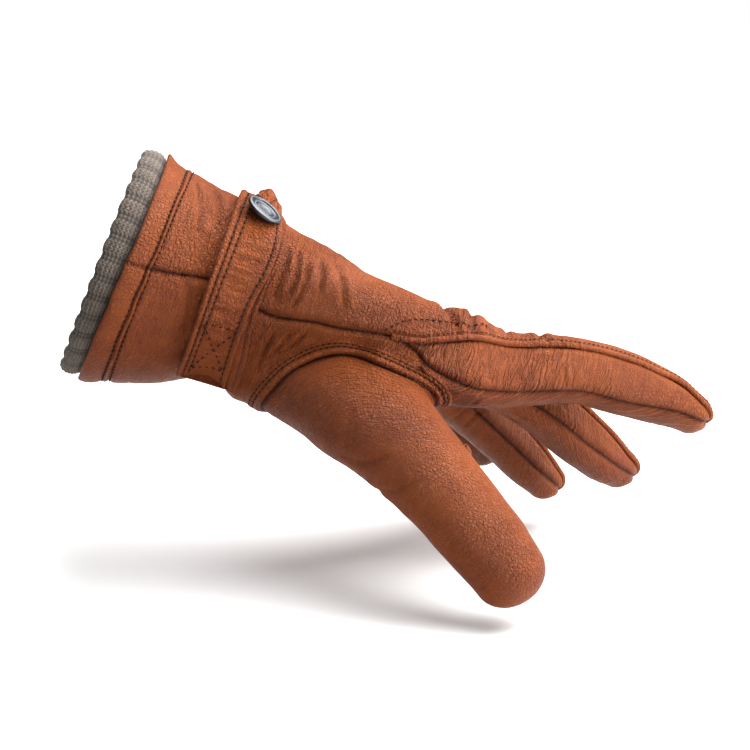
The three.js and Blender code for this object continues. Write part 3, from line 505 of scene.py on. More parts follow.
def oval_way(share, scale):
    """Ways from the seed to the seam, drawn in or out by a scale of their slant."""
    place = (np.asarray(share) % 1.0) * len(oval_line)
    i = place.astype(int) % len(oval_line)
    t = (place - np.floor(place))[:, None]
    point = oval_line[i] * (1 - t) + oval_line[(i + 1) % len(oval_line)] * t
    way = unit(point - OVAL_SEED)
    lead = (way @ OVAL_OUT)[:, None]
    return unit((way - OVAL_OUT * lead) * scale + OVAL_OUT * lead)


def oval_reach(p):
    """1 on the thumb's seam, less inside it and more outside."""
    def place(way):
        x, y = way[:, 0], way @ OVAL_ACROSS
        return np.arctan2(y, x), np.arctan2(np.hypot(x, y), way @ OVAL_OUT)
    seam_round, seam_slant = place(oval_way(np.arange(400) / 400, 1.0))
    order = np.argsort(seam_round)
    here_round, here_slant = place(unit(p - OVAL_SEED))
    return here_slant / np.interp(here_round, seam_round[order], seam_slant[order], period=2 * math.pi)


# Noise

def hash_grid(i, seed):
    """A fixed pseudo-random number from 0 to 1 for each lattice point."""
    n = (i[..., 0] * 374761393 + i[..., 1] * 668265263 + i[..., 2] * 2147483647 + seed * 974711) & 0xFFFFFFFF
    n = ((n ^ (n >> 13)) * 1274126177) & 0xFFFFFFFF
    return ((n ^ (n >> 16)) & 0xFFFFFF) / float(0xFFFFFF)


def noise(p, seed=0):
    """Smooth value noise from -1 to 1 with cells one unit wide."""
    cell = np.floor(p).astype(np.int64)
    t = p - cell
    t = t * t * t * (t * (t * 6 - 15) + 10)
    total = 0.0
    for x in (0, 1):
        for y in (0, 1):
            for z in (0, 1):
                corner = np.array([x, y, z])
                w = np.prod(np.where(corner, t, 1 - t), axis=-1)
                total = total + w * hash_grid(cell + corner, seed)
    return total * 2 - 1


# Meshes

class Cloth:
    """Grids of points that share vertices, with a flat map in millimetres, made into a wall."""

    def __init__(self):
        self.points, self.flat, self.edge, self.grids = [], [], [], []
        self.count = 0

    def add(self, points, flat, edge, shared=None):
        """Adds a grid; shared gives vertex numbers to use in place of new ones, or -1."""
        rows, cols = points.shape[:2]
        index = np.arange(rows * cols).reshape(rows, cols) + self.count
        self.points.append(points.reshape(-1, 3))
        self.flat.append(flat.reshape(-1, 2))
        self.edge.append(edge.reshape(-1))
        self.count += rows * cols
        if shared is not None:
            index = np.where(shared >= 0, shared, index)
        self.grids.append(index)
        return index


def quads_of(index, wrap=False):
    """Faces between neighbouring points of a grid of vertex numbers."""
    if wrap:
        index = np.hstack([index, index[:, :1]])
    return np.stack([index[:-1, :-1], index[1:, :-1], index[1:, 1:], index[:-1, 1:]], axis=-1).reshape(-1, 4)


def normals_of(points, faces):
    """Mean of the directions of the faces round each point; a triangle's fourth corner is -1."""
    faces = np.where(faces < 0, faces[:, 2:3], faces)
    a, b, c, d = [points[faces[:, k]] for k in range(4)]
    face = np.cross(c - a, d - b)
    total = np.zeros_like(points)
    for k in range(4):
        for axis in range(3):
            total[:, axis] += np.bincount(faces[:, k], face[:, axis], len(points))
    return unit(total)


def outwards(points, faces):
    """Faces turned so that they point out of the glove."""
    sample = np.arange(0, len(points), max(1, len(points) // 300))
    agree = (normals_of(points, faces)[sample] * slope_of(glove_field, points[sample])).sum()
    return faces if agree > 0 else turned(faces)


def turned(faces):
    """Faces seen from the other side."""
    three = faces[:, 3] < 0
    back = faces[:, ::-1].copy()
    back[three] = np.concatenate([faces[three][:, 2::-1], faces[three][:, 3:]], axis=1)
    return back


def compact(points, quads, *more):
    """Drops points that no face uses."""
    used, where = np.unique(quads, return_inverse=True)
    return (points[used], where.reshape(quads.shape)) + tuple(values[used] for values in more)


def wall(points, normals, faces, thickness):
    """An outer skin and an inner one a thickness behind it, closed round every open edge."""
    n = len(points)
    inner = points - normals * np.reshape(thickness, (-1, 1))
    four, three = faces[faces[:, 3] >= 0], faces[faces[:, 3] < 0]
    sides = [four[:, [0, 1]], four[:, [1, 2]], four[:, [2, 3]], four[:, [3, 0]]]
    sides += [three[:, [0, 1]], three[:, [1, 2]], three[:, [2, 0]]]
    sides = np.concatenate(sides)
    code = np.sort(sides, axis=1)
    code = code[:, 0] * n + code[:, 1]
    _, first, counts = np.unique(code, return_index=True, return_counts=True)
    rim = sides[first[counts == 1]]
    rim = np.stack([rim[:, 1], rim[:, 0], rim[:, 0] + n, rim[:, 1] + n], axis=-1)
    behind = turned(faces)
    behind = np.where(behind < 0, -1, behind + n)
    return np.concatenate([points, inner]), np.concatenate([faces, behind, rim])


def mesh_object(name, points, faces, material, flat=None, marks=None):
    """A smooth-shaded object from pattern points, with a flat map and named marks on its points."""
    mesh = bpy.data.meshes.new(name)
    placed = to_model(points)
    triangles = faces[faces[:, 3] < 0][:, :3]
    squares = faces[faces[:, 3] >= 0]
    loops = np.concatenate([squares.reshape(-1), triangles.reshape(-1)]).astype(np.int32)
    sizes = np.concatenate([np.full(len(squares), 4), np.full(len(triangles), 3)]).astype(np.int32)
    starts = np.concatenate([[0], np.cumsum(sizes)[:-1]]).astype(np.int32)
    mesh.vertices.add(len(placed))
    mesh.vertices.foreach_set("co", placed.astype(np.float32).reshape(-1))
    mesh.loops.add(len(loops))
    mesh.loops.foreach_set("vertex_index", loops)
    mesh.polygons.add(len(sizes))
    mesh.polygons.foreach_set("loop_start", starts)
    mesh.polygons.foreach_set("loop_total", sizes)
    mesh.polygons.foreach_set("use_smooth", np.ones(len(sizes), bool))
    mesh.update(calc_edges=True)
    if flat is not None:
        layer = mesh.uv_layers.new(name="Flat")
        layer.data.foreach_set("uv", (flat[loops] * METRE).astype(np.float32).reshape(-1))
    for key, values in (marks or {}).items():
        mark = mesh.attributes.new(name=key, type="FLOAT", domain="POINT")
        mark.data.foreach_set("value", values.astype(np.float32))
    mesh.validate()
    obj = bpy.data.objects.new(name, mesh)
    bpy.context.scene.collection.objects.link(obj)
    obj.data.materials.append(material)
    return obj


def swept(path, normal, profile, height):
    """A profile of (aside, above) pairs carried along a path on a surface, its height scaled along it."""
    ahead = unit(np.gradient(path, axis=0))
    aside = unit(np.cross(normal, ahead))
    above = np.cross(ahead, aside)
    return (path[:, None] + aside[:, None] * profile[None, :, :1]
            + above[:, None] * profile[None, :, 1:] * height[:, None, None])


def tube_faces(rows, cols, closed=False):
    """Faces of a closed profile carried along a path; the ends are shut by rungs across the profile."""
    index = np.arange(rows * cols).reshape(rows, cols)
    if closed:
        return quads_of(np.vstack([index, index[:1]]), wrap=True)
    half = cols // 2
    low, high = np.arange(half - 1), cols - 1 - np.arange(half - 1)
    rungs = np.stack([low, low + 1, high - 1, high], axis=-1)
    return np.concatenate([quads_of(index, wrap=True), index[0][rungs], index[-1][rungs][:, ::-1]])


def settled(points, normals, field, rounds=3):
    """Points moved along their normals until they lie on the form."""
    for _ in range(rounds):
        points = points - normals * np.clip(field(points), -2.0, 2.0)[:, None]
    return points


# Relief of the leather

def soft_relief(p):
    """Slack of the leather in millimetres: broad soft lumps and smaller ones on them."""
    return 0.42 * noise(p / 27.0, 1) + 0.2 * noise(p / 11.0, 2) + 0.09 * noise(p / 5.0, 3)


def distance_to(line, p, reach=8.0):
    """Distance from points to a polyline, and how far along it; far points keep a large number."""
    best = np.full(len(p), 1e3)
    place = np.zeros(len(p))
    near = np.all((p > line.min(0) - reach) & (p < line.max(0) + reach), axis=1)
    i = np.nonzero(near)[0]
    if not len(i):
        return best, place
    q = p[i]
    s = lengths(line)
    found = np.full(len(q), 1e3)
    where = np.zeros(len(q))
    for a, b, start in zip(line[:-1], line[1:], s[:-1]):
        chord = b - a
        t = np.clip((q - a) @ chord / max((chord**2).sum(), 1e-9), 0, 1)
        gap = np.linalg.norm(q - a - t[:, None] * chord, axis=1)
        closer = gap < found
        found = np.where(closer, gap, found)
        where = np.where(closer, start + t * np.linalg.norm(chord), where)
    best[i], place[i] = found, where
    return best, place


# Folds seen in the photograph: pixels from the fold's start over its middle to its end, how deep it is
# in millimetres and how wide
FOLDS = columns("x0 y0 x1 y1 x2 y2 depth width", [
    (289, 246, 284, 268, 272, 300, 0.9, 2.4),
    (296, 250, 298, 272, 288, 300, 0.8, 2.2),
    (306, 262, 304, 285, 290, 312, 0.7, 2.0),
    (318, 258, 322, 275, 318, 296, 0.7, 2.4),
    (334, 262, 342, 284, 344, 312, 0.6, 2.6),
    (276, 332, 268, 345, 256, 372, 0.8, 2.0),
    (292, 330, 282, 345, 264, 362, 0.7, 1.8),
    (309, 331, 294, 344, 276, 356, 0.6, 1.8),
    (440, 300, 449, 314, 462, 332, 1.0, 3.4),
    (456, 303, 463, 318, 470, 335, 0.8, 2.2),
    (474, 309, 471, 322, 473, 336, 1.3, 3.6),
    (488, 322, 490, 331, 497, 338, 1.0, 3.0),
    (505, 328, 509, 334, 516, 340, 0.7, 2.2),
    (538, 333, 545, 340, 551, 346, 1.0, 3.2),
    (556, 336, 561, 342, 566, 348, 0.5, 1.4),
    (196, 181, 200, 210, 196, 236, 0.7, 2.6),
    (214, 188, 219, 214, 214, 240, 0.8, 2.4),
    (226, 196, 232, 222, 228, 250, 0.6, 2.0),
    (180, 268, 188, 300, 182, 340, 0.5, 3.0),
    (340, 455, 372, 462, 392, 452, 0.5, 3.2),
    (372, 488, 398, 490, 418, 478, 0.4, 3.4),
    (455, 420, 462, 412, 482, 398, 0.5, 1.8),
    (463, 428, 474, 416, 492, 406, 0.5, 1.8),
    (505, 414, 512, 420, 524, 424, 0.4, 1.4),
    (512, 410, 522, 417, 534, 421, 0.4, 1.4),
    (560, 362, 565, 374, 563, 388, 0.3, 1.6),
])


def fold_lines():
    lines = []
    for i in range(len(FOLDS["x0"])):
        row = {name: values[i] for name, values in FOLDS.items()}
        t = np.linspace(0, 1, 9)[:, None]
        a, b, c = [np.array([row[f"x{k}"], row[f"y{k}"]]) for k in range(3)]
        pixels = a * (1 - t) ** 2 + 2 * t * (1 - t) * (2 * b - (a + c) / 2) + c * t**2
        lines.append((from_photo(pixels), row["depth"], row["width"]))
    return lines


folds = fold_lines()


def fold_relief(p):
    """Each fold is a valley with a soft rise on both sides, fading at its ends."""
    total = np.zeros(len(p))
    for line, depth, width in folds:
        gap, place = distance_to(line, p, width * 3.5)
        ends = smooth(0, 3, place) * smooth(0, 3, lengths(line)[-1] - place)
        total -= 1.1 * depth * ends * (hump(gap, width * 0.33) - 0.5 * hump(gap - width, width * 0.6))
    return total


def seam_relief(edge):
    """Beside a seam the leather turns in: a narrow groove, then a low soft roll."""
    return -0.95 * hump(edge, 1.0) + 0.22 * hump(edge - 3.0, 1.5)


# The leather panels

ROW_STEPS = 11
COLUMN_STEPS = 32


def coarse_rows(finger):
    return np.concatenate([np.arange(19.0), np.arange(18.5, row_count(finger) + 0.1, 0.5)[1:]])


def fine_rows(finger):
    return np.arange(row_count(finger) * ROW_STEPS + 1) / ROW_STEPS


def across_from_first(grid):
    """Distance along each row of a grid from its first column."""
    gaps = np.linalg.norm(np.diff(grid, axis=1), axis=-1)
    return np.concatenate([np.zeros((len(grid), 1)), np.cumsum(gaps, axis=1)], axis=1)


def flat_map(points, left=None, start=None):
    """Millimetres across and along a grid; its left border may carry on from another grid's right one."""
    u = across_from_first(points)
    if left is not None:
        u = u + left[:, None]
    first = lengths(points[:, 0]) if start is None else start
    last = lengths(points[:, -1])
    share = np.linspace(0, 1, points.shape[1])
    v = first[:, None] * (1 - share) + last[:, None] * share
    return np.stack([u, v], axis=-1)


def panel_column(side, finger, field):
    """One finger's column of a panel, over the hand and on to the fingertip."""
    rows = coarse_rows(finger)
    share = np.linspace(0, 1, 9)
    rays = [edge_ray(finger, -1, rows, side), centre_ray(finger, rows, side), edge_ray(finger, 1, rows, side)]
    points = landing(field, *curve_rays(*rays, share, 1.6))
    points = cubic(points, rows, fine_rows(finger))
    points = cubic(points.swapaxes(0, 1), share, np.linspace(0, 1, COLUMN_STEPS + 1)).swapaxes(0, 1)
    return points


def panel(side):
    """The back or the palm as one cloth: four columns side by side, then one tongue for each finger."""
    cloth = Cloth()
    marks = {"row": [], "finger": [], "start": []}
    before, left, start = None, None, None
    for finger in range(4):
        points = panel_column(side, finger, glove_field)
        rows = fine_rows(finger)
        edge = np.full(points.shape[:2], NO_SEAM)
        for border, column, outside in ((finger, 0, finger == 0), (finger + 1, -1, finger == 3)):
            gap = np.linalg.norm(points - points[:, column][:, None], axis=-1)
            if not outside:
                split = PARTING[border][0]
                tip = np.linalg.norm(points - points[int(split * ROW_STEPS), column], axis=-1)
                gap = np.where(rows[:, None] > split, gap, tip)
            edge = np.minimum(edge, gap)
        middle = lengths(points[:, COLUMN_STEPS // 2])
        edge = np.minimum(edge, (middle[-1] - middle)[:, None])
        shared = None
        if before is not None:
            last = int(PARTING[finger][0] * ROW_STEPS) + 1
            shared = np.full(edge.shape, -1)
            shared[:last, 0] = before[:last, -1]
            left = left[np.minimum(np.arange(len(rows)), last - 1)]
            own = lengths(points[:, 0])
            start = np.concatenate([start[:last], start[last - 1] + own[last:] - own[last - 1]])
        flat = flat_map(points, left, start)
        before = cloth.add(points, flat, edge, shared)
        left, start = flat[:, -1, 0], flat[:, -1, 1]
        marks["row"].append(np.broadcast_to(rows[:, None], edge.shape).reshape(-1))
        marks["finger"].append(np.full(edge.size, finger))
        marks["start"].append(np.broadcast_to(middle[:, None], edge.shape).reshape(-1))
    faces = np.concatenate([quads_of(index) for index in cloth.grids])
    marks = {key: np.concatenate(values) for key, values in marks.items()}
    return np.concatenate(cloth.points), faces, np.concatenate(cloth.flat), np.concatenate(cloth.edge), marks


def strip_rows(rays, stop, share, pull=1.3):
    """Landings of a strip's rows; the inner rays stop at their own field."""
    seeds, ways = curve_rays(*rays, share, pull)
    points = landing(stop, seeds, ways, 60.0)
    points[:, [0, -1]] = landing(glove_field, seeds[:, [0, -1]], ways[:, [0, -1]], 60.0)
    return points


def index_side_grid():
    rows = np.arange(PARTING[0][0] + 0.5, row_count(0), 0.5)
    rows = rows[rows <= row_count(0) - 0.5]
    middle = mix(hand_ray(rows, -1, "back"), finger_ray(0, rows, -math.pi / 2), hand_share(rows))
    share = np.linspace(0, 1, 9)
    rays = (edge_ray(0, -1, rows, "back"), middle, edge_ray(0, -1, rows, "palm"))
    points = strip_rows(rays, glove_field, share)
    fine = np.linspace(rows[0], rows[-1], int((rows[-1] - rows[0]) * ROW_STEPS))
    points = cubic(points, rows, fine)
    return cubic(points.swapaxes(0, 1), share, np.linspace(0, 1, 33)).swapaxes(0, 1)


def fourchette_grid(finger):
    """Down the side of one finger, round the crotch and up the side of the next."""
    after = finger + 1
    split = PARTING[after][0]
    one = np.array([split - 1.0])
    crotch = mix(finger_ray(finger, one, 0.0), finger_ray(after, one, 0.0), np.array([0.5]))
    there = np.array([0.3])
    ahead = unit(fingers[finger].at(there)["ahead"] + fingers[after].at(there)["ahead"])
    share = np.linspace(0, 1, 9)

    def side(number, hand):
        rows = np.concatenate([[split + 1.0], np.arange(split + 1.5, row_count(number) - 0.4, 0.5)])
        other = after if number == finger else finger
        stop = lambda p: np.maximum(glove_field(p), fingers[number].distance(p) - fingers[other].distance(p))
        rays = (edge_ray(number, hand, rows, "back"), finger_ray(number, rows, hand * math.radians(85)),
                edge_ray(number, hand, rows, "palm"))
        return strip_rows(rays, stop, share)

    web_row = np.array([split + 0.15])
    rays = (border_ray(after, web_row, "back"), (crotch[0], ahead), border_ray(after, web_row, "palm"))
    web = strip_rows(rays, glove_field, share)
    points = np.concatenate([side(finger, 1)[::-1], web, side(after, -1)])
    at = lengths(points[:, 4])
    points = cubic(points, at, np.linspace(0, at[-1], int(at[-1] / 0.8)))
    return cubic(points.swapaxes(0, 1), share, np.linspace(0, 1, 29)).swapaxes(0, 1)


def thumb_grid():
    rings = np.concatenate([np.arange(0, 11, 0.5), np.arange(11, 14.1, 0.5)])
    sides = 72
    share = np.arange(sides) / sides
    start = 0.32
    station = thumb.at(start + (1 - start) * np.minimum(rings / 11, 1))
    lean = np.radians(26 * np.maximum(rings - 11, 0))[:, None, None]
    angle = (math.pi / 2 - share * 2 * math.pi)[None, :, None]
    way = station["across"][:, None] * np.sin(angle) + station["top"][:, None] * np.cos(angle)
    way = way * np.cos(lean) + station["ahead"][:, None] * np.sin(lean)
    first = oval_way(share, 0.985)[None]
    turn = smooth(0, 8, rings)[:, None, None]
    seat = smooth(0, 4, rings)[:, None, None]
    ways = unit(first * (1 - turn) + way * turn)
    seeds = OVAL_SEED * (1 - seat) + station["point"][:, None] * seat + 0 * ways
    points = landing(glove_field, seeds, ways)
    fine = np.concatenate([np.arange(0, 11, 1 / 9), np.linspace(11, 14, 26)])
    points = cubic(points, rings, fine)
    looped = np.concatenate([points[:, -3:], points, points[:, :4]], axis=1).swapaxes(0, 1)
    at = np.arange(-3, sides + 4) / sides
    points = cubic(looped, at, np.arange(168) / 168).swapaxes(0, 1)
    end = thumb.at(np.array([1.0]))
    tip = landing(glove_field, end["point"], end["ahead"])
    return points, tip


# Shader maths

class Wire:
    """A node socket, or a number, on which Python's operators add Math nodes."""

    def __init__(self, tree, socket):
        self.tree, self.socket = tree, socket

    def maths(self, operation, *others):
        node = self.tree.nodes.new("ShaderNodeMath")
        node.operation = operation
        for slot, value in zip(node.inputs, (self,) + others):
            plug(self.tree, slot, value)
        return Wire(self.tree, node.outputs[0])

    def __add__(self, other):
        return self.maths("ADD", other)

    __radd__ = __add__

    def __mul__(self, other):
        return self.maths("MULTIPLY", other)

    __rmul__ = __mul__

    def __sub__(self, other):
        return self.maths("SUBTRACT", other)

    def __rsub__(self, other):
        return (self * -1.0) + other

    def __pow__(self, other):
        return self.maths("POWER", other)

    def clamped(self):
        return self.maths("MINIMUM", 1.0).maths("MAXIMUM", 0.0)


def plug(tree, slot, value):
    if isinstance(value, Wire):
        tree.links.new(value.socket, slot)
    else:
        slot.default_value = value


def add_node(tree, kind, settings=None, output=0, **slots):
    """Adds a node, sets its settings first, then its sockets by name or index."""
    node = tree.nodes.new(kind)
    for name, value in (settings or {}).items():
        setattr(node, name, value)
    for name, value in slots.items():
        key = int(name[1:]) if name[0] == "i" and name[1:].isdigit() else name.replace("_", " ")
        plug(tree, node.inputs[key], value)
    return Wire(tree, node.outputs[output])


def mixed(tree, factor, first, second):
    """Two colours mixed by a factor."""
    node = tree.nodes.new("ShaderNodeMix")
    node.data_type = "RGBA"
    plug(tree, node.inputs[0], factor)
    plug(tree, node.inputs[6], first)
    plug(tree, node.inputs[7], second)
    return Wire(tree, node.outputs[2])


def new_material(name):
    material = bpy.data.materials.new(name)
    material.use_nodes = True
    tree = material.node_tree
    return material, tree, tree.nodes["Principled BSDF"]


def rgb(r, g, b):
    return (r, g, b, 1.0)


def leather_material(name, base, deep, light, roughness=0.5):
    """Pebbled deerskin: cells of grain, fine creases and mottled tan dye, with painted shade in the grain's
    hollows and crease lines and where the mesh's shade mark lies.
    """
    material, tree, shader = new_material(name)
    place = add_node(tree, "ShaderNodeTexCoord", output=3)
    flat = add_node(tree, "ShaderNodeUVMap", {"uv_map": "Flat"})
    crease = add_node(tree, "ShaderNodeAttribute", {"attribute_name": "crease"}, output=2)
    # The mesh's shade mark: how much painted shade lies on each point.
    shade = add_node(tree, "ShaderNodeAttribute", {"attribute_name": "shade"}, output=2)
    warp = add_node(tree, "ShaderNodeTexNoise", Vector=place, Scale=420.0, Detail=2.0, output=1)
    shift = add_node(tree, "ShaderNodeVectorMath", {"operation": "SUBTRACT"}, i0=warp, i1=(0.5, 0.5, 0.5))
    shift = add_node(tree, "ShaderNodeVectorMath", {"operation": "SCALE"}, i0=shift, Scale=0.0016)
    bent = add_node(tree, "ShaderNodeVectorMath", {"operation": "ADD"}, i0=place, i1=shift)
    cells = add_node(tree, "ShaderNodeTexVoronoi", {"feature": "DISTANCE_TO_EDGE"}, Vector=bent, Scale=680.0)
    small = add_node(tree, "ShaderNodeTexVoronoi", {"feature": "DISTANCE_TO_EDGE"}, Vector=bent, Scale=1500.0)
    pores = add_node(tree, "ShaderNodeTexNoise", Vector=place, Scale=2200.0, Detail=3.0)
    stretch = add_node(tree, "ShaderNodeMapping", Vector=flat, Scale=(95.0, 430.0, 1.0))
    lines = add_node(tree, "ShaderNodeTexNoise", Vector=stretch, Scale=1.0, Detail=2.0, Roughness=0.5,
                     Distortion=0.5)
    dents = add_node(tree, "ShaderNodeTexNoise", Vector=place, Scale=210.0, Detail=3.0, Roughness=0.55)
    patches = add_node(tree, "ShaderNodeTexNoise", Vector=place, Scale=38.0, Detail=2.0)
    grained = ((patches - 0.38) * 4.0).clamped() * 0.7 + 0.3
    grain = (cells * 3.4).clamped() ** 0.7
    fine = (small * 5.0).clamped()
    creases = ((lines - 0.5).maths("ABSOLUTE") * 8.0).clamped() ** 0.8
    height = (grain * (1.0 - crease * 0.4) * grained * 0.75 + fine * 0.22 + creases * crease * grained * 1.6
              + pores * 0.12 + dents * grained * 0.9)
    bump = add_node(tree, "ShaderNodeBump", Height=height, Strength=1.0, Distance=0.0008)
    broad = add_node(tree, "ShaderNodeTexNoise", Vector=place, Scale=26.0, Detail=4.0, Roughness=0.6)
    spots = add_node(tree, "ShaderNodeTexNoise", Vector=place, Scale=170.0, Detail=3.0)
    tone = mixed(tree, ((broad - 0.32) * 2.4).clamped(), rgb(*deep), rgb(*base))
    tone = mixed(tree, ((spots - 0.45) * 1.8).clamped() * 0.55, tone, rgb(*light))
    # Painted shade: the grain's hollows and the crease lines are darkened towards a deeper brown; the same
    # mask also makes them rougher.
    hollow = ((1.0 - grain) * (1.0 - crease) * 0.7 + (1.0 - creases) * crease * 0.6).clamped()
    tone = mixed(tree, hollow * 0.6, tone, rgb(deep[0] * 0.5, deep[1] * 0.4, deep[2] * 0.36))
    # Painted shade: the mesh's shade mark darkens seam grooves, fold valleys and tucked-under edges almost to
    # black-brown.
    tone = mixed(tree, shade.clamped(), tone, rgb(deep[0] * 0.14, deep[1] * 0.1, deep[2] * 0.09))
    plug(tree, shader.inputs["Base Color"], tone)
    plug(tree, shader.inputs["Roughness"], hollow * 0.25 + spots * 0.12 + (roughness - 0.14))
    plug(tree, shader.inputs["Normal"], bump)
    shader.inputs["Specular IOR Level"].default_value = 0.26
    return material


def thread_material(name, color):
    material, tree, shader = new_material(name)
    place = add_node(tree, "ShaderNodeTexCoord", output=3)
    twist = add_node(tree, "ShaderNodeTexNoise", Vector=place, Scale=2200.0, Detail=2.0)
    plug(tree, shader.inputs["Base Color"], mixed(tree, twist, rgb(*[c * 0.5 for c in color]), rgb(*color)))
    bump = add_node(tree, "ShaderNodeBump", Height=twist, Strength=0.5, Distance=0.0002)
    plug(tree, shader.inputs["Normal"], bump)
    shader.inputs["Roughness"].default_value = 0.8
    shader.inputs["Specular IOR Level"].default_value = 0.15
    return material


def knit_material(name):
    """Heather wool: pale and dark fibres run together, fuzzy and matt."""
    material, tree, shader = new_material(name)
    place = add_node(tree, "ShaderNodeTexCoord", output=3)
    shade = add_node(tree, "ShaderNodeAttribute", {"attribute_name": "shade"}, output=2)
    fibres = add_node(tree, "ShaderNodeTexNoise", Vector=place, Scale=3200.0, Detail=4.0, Roughness=0.7)
    blots = add_node(tree, "ShaderNodeTexNoise", Vector=place, Scale=420.0, Detail=3.0, Roughness=0.7)
    tone = mixed(tree, ((blots - 0.35) * 2.6).clamped(), rgb(0.125, 0.092, 0.07), rgb(0.24, 0.182, 0.138))
    tone = mixed(tree, ((fibres - 0.4) * 2.5).clamped() * 0.6, tone, rgb(0.37, 0.29, 0.228))
    # Painted shade from the mesh's shade mark, almost to black.
    tone = mixed(tree, shade.clamped(), tone, rgb(0.035, 0.028, 0.023))
    bump = add_node(tree, "ShaderNodeBump", Height=fibres, Strength=0.8, Distance=0.0004)
    plug(tree, shader.inputs["Base Color"], tone)
    plug(tree, shader.inputs["Normal"], bump)
    shader.inputs["Roughness"].default_value = 0.95
    shader.inputs["Sheen Weight"].default_value = 0.15
    shader.inputs["Sheen Roughness"].default_value = 0.6
    return material


def metal_material(name):
    """Dark nickel with fine turned scratches; painted shade from the mesh's shade mark darkens its grooves
    and underside, so it looks brighter where the rings stand up.
    """
    material, tree, shader = new_material(name)
    place = add_node(tree, "ShaderNodeTexCoord", output=3)
    wear = add_node(tree, "ShaderNodeTexNoise", Vector=place, Scale=900.0, Detail=4.0, Roughness=0.7)
    shade = add_node(tree, "ShaderNodeAttribute", {"attribute_name": "shade"}, output=2)
    tone = mixed(tree, wear, rgb(0.085, 0.09, 0.10), rgb(0.21, 0.22, 0.24))
    # Painted shade from the mesh's shade mark, almost to black.
    tone = mixed(tree, shade.clamped(), tone, rgb(0.03, 0.03, 0.035))
    plug(tree, shader.inputs["Base Color"], tone)
    plug(tree, shader.inputs["Roughness"], wear * 0.25 + 0.33)
    shader.inputs["Metallic"].default_value = 1.0
    return material


# The pieces

def colors():
    return bpy.context.scene.glove_colors


def sizes():
    return bpy.context.scene.glove_sizes


def millimetres(value):
    return value / METRE


def dress(obj, slot, *nodes):
    """Every piece rides on the glove's one body and may stand for CAD nodes."""
    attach(obj, "root")
    if nodes:
        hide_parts(*nodes)
    return obj


def leather():
    """The glove's one leather, made once."""
    found = bpy.data.materials.get("deerskin")
    if found:
        return found
    tones = colors()
    return leather_material("deerskin", tuple(tones.tan), tuple(tones.deep), tuple(tones.light))


def thread():
    found = bpy.data.materials.get("waxed_thread")
    return found if found else thread_material("waxed_thread", tuple(colors().thread))


def nearest_share(p):
    """How near points are to the thumb's seam: 1 on it, less inside."""
    reach = np.full(len(p), 2.0)
    close = (p[:, 0] > 35) & (p[:, 0] < 150) & ((p - OVAL_SEED) @ OVAL_OUT > -8)
    reach[close] = oval_reach(p[close])
    return reach


def leather_piece(name, points, faces, flat, edge, crease, extra=None, dark=None):
    """Adds the relief and its painted shade mark to a skin of leather and makes it a wall."""
    normals = normals_of(points, faces)
    folds_here = fold_relief(points)
    rise = soft_relief(points) * sizes().slack + folds_here + seam_relief(edge)
    # Painted shade: darker in the groove beside each seam and in the folds' valleys; dark, when given, adds
    # painted shade of its own.
    shade = 0.85 * hump(edge, 0.7) + np.clip(-folds_here * 0.25, 0, 0.3)
    crease = np.maximum(crease, np.clip(np.abs(folds_here) * 0.9, 0, 0.7))
    if extra is not None:
        rise = rise + extra
    if dark is not None:
        shade = np.maximum(shade, dark)
    skin, all_faces = wall(points + normals * rise[:, None], normals, faces, millimetres(sizes().leather))
    marks = {
        "crease": np.tile(np.broadcast_to(crease, len(points)), 2).astype(float),
        "shade": np.tile(np.clip(shade, 0, 1), 2),
    }
    return mesh_object(name, skin, all_faces, leather(), np.concatenate([flat, flat]), marks)


def make_panel(side):
    """The back or the palm: relief, side wrinkles under the lower seam, and the thumb's hole."""
    points, faces, flat, edge, marks = panel(side)
    if side == "palm":
        reach = nearest_share(points)
        keep = ~np.all(reach[faces] < 0.93, axis=1)
        faces = faces[keep]
        points, faces, flat, edge, reach, *kept = compact(points, faces, flat, edge, reach, *marks.values())
        marks = dict(zip(marks, kept))
    faces = outwards(points, faces)
    points = settled(points, normals_of(points, faces), glove_field)
    start = marks["start"]
    extra = -0.6 * hump(start, 0.7) - 0.25 * hump(start - 1.1, 0.45)
    # Painted shade along the panel's first row, where it dips in beside the hem.
    dark = 0.8 * hump(start, 0.6)
    knuckle = from_photo([(470, 320)])
    crease = np.maximum(0.38, 0.9 * hump(np.linalg.norm(points - knuckle, axis=-1), 14.0))
    if side == "palm":
        extra = extra - 3.0 * smooth(1.0, 0.94, reach)
        # Painted shade round the thumb's hole, under the lapped edge.
        dark = np.maximum(dark, smooth(1.02, 0.98, reach))
        wrinkled = smooth(11, 14, marks["row"]) * smooth(26, 8, edge)
        crease = np.where(marks["finger"] < 0.5, np.maximum(crease, wrinkled), crease)
    obj = leather_piece(f"{side}_leather", points, faces, flat, edge, crease, extra, dark)
    return dress(obj, "leather", f"{side}_panel")


def strip_edge(grid):
    """Distance to the nearer long side."""
    u = across_from_first(grid)
    return np.minimum(u, u[:, -1:] - u)


def make_strip(name, grid, node, crease):
    index = np.arange(grid[..., 0].size).reshape(grid.shape[:2])
    points = grid.reshape(-1, 3)
    faces = outwards(points, quads_of(index))
    edge = strip_edge(grid).reshape(-1)
    flat = flat_map(grid).reshape(-1, 2)
    crease = crease * (0.25 + 0.75 * smooth(208, 180, points[:, 0]))
    return dress(leather_piece(name, points, faces, flat, edge, crease), "leather", node)


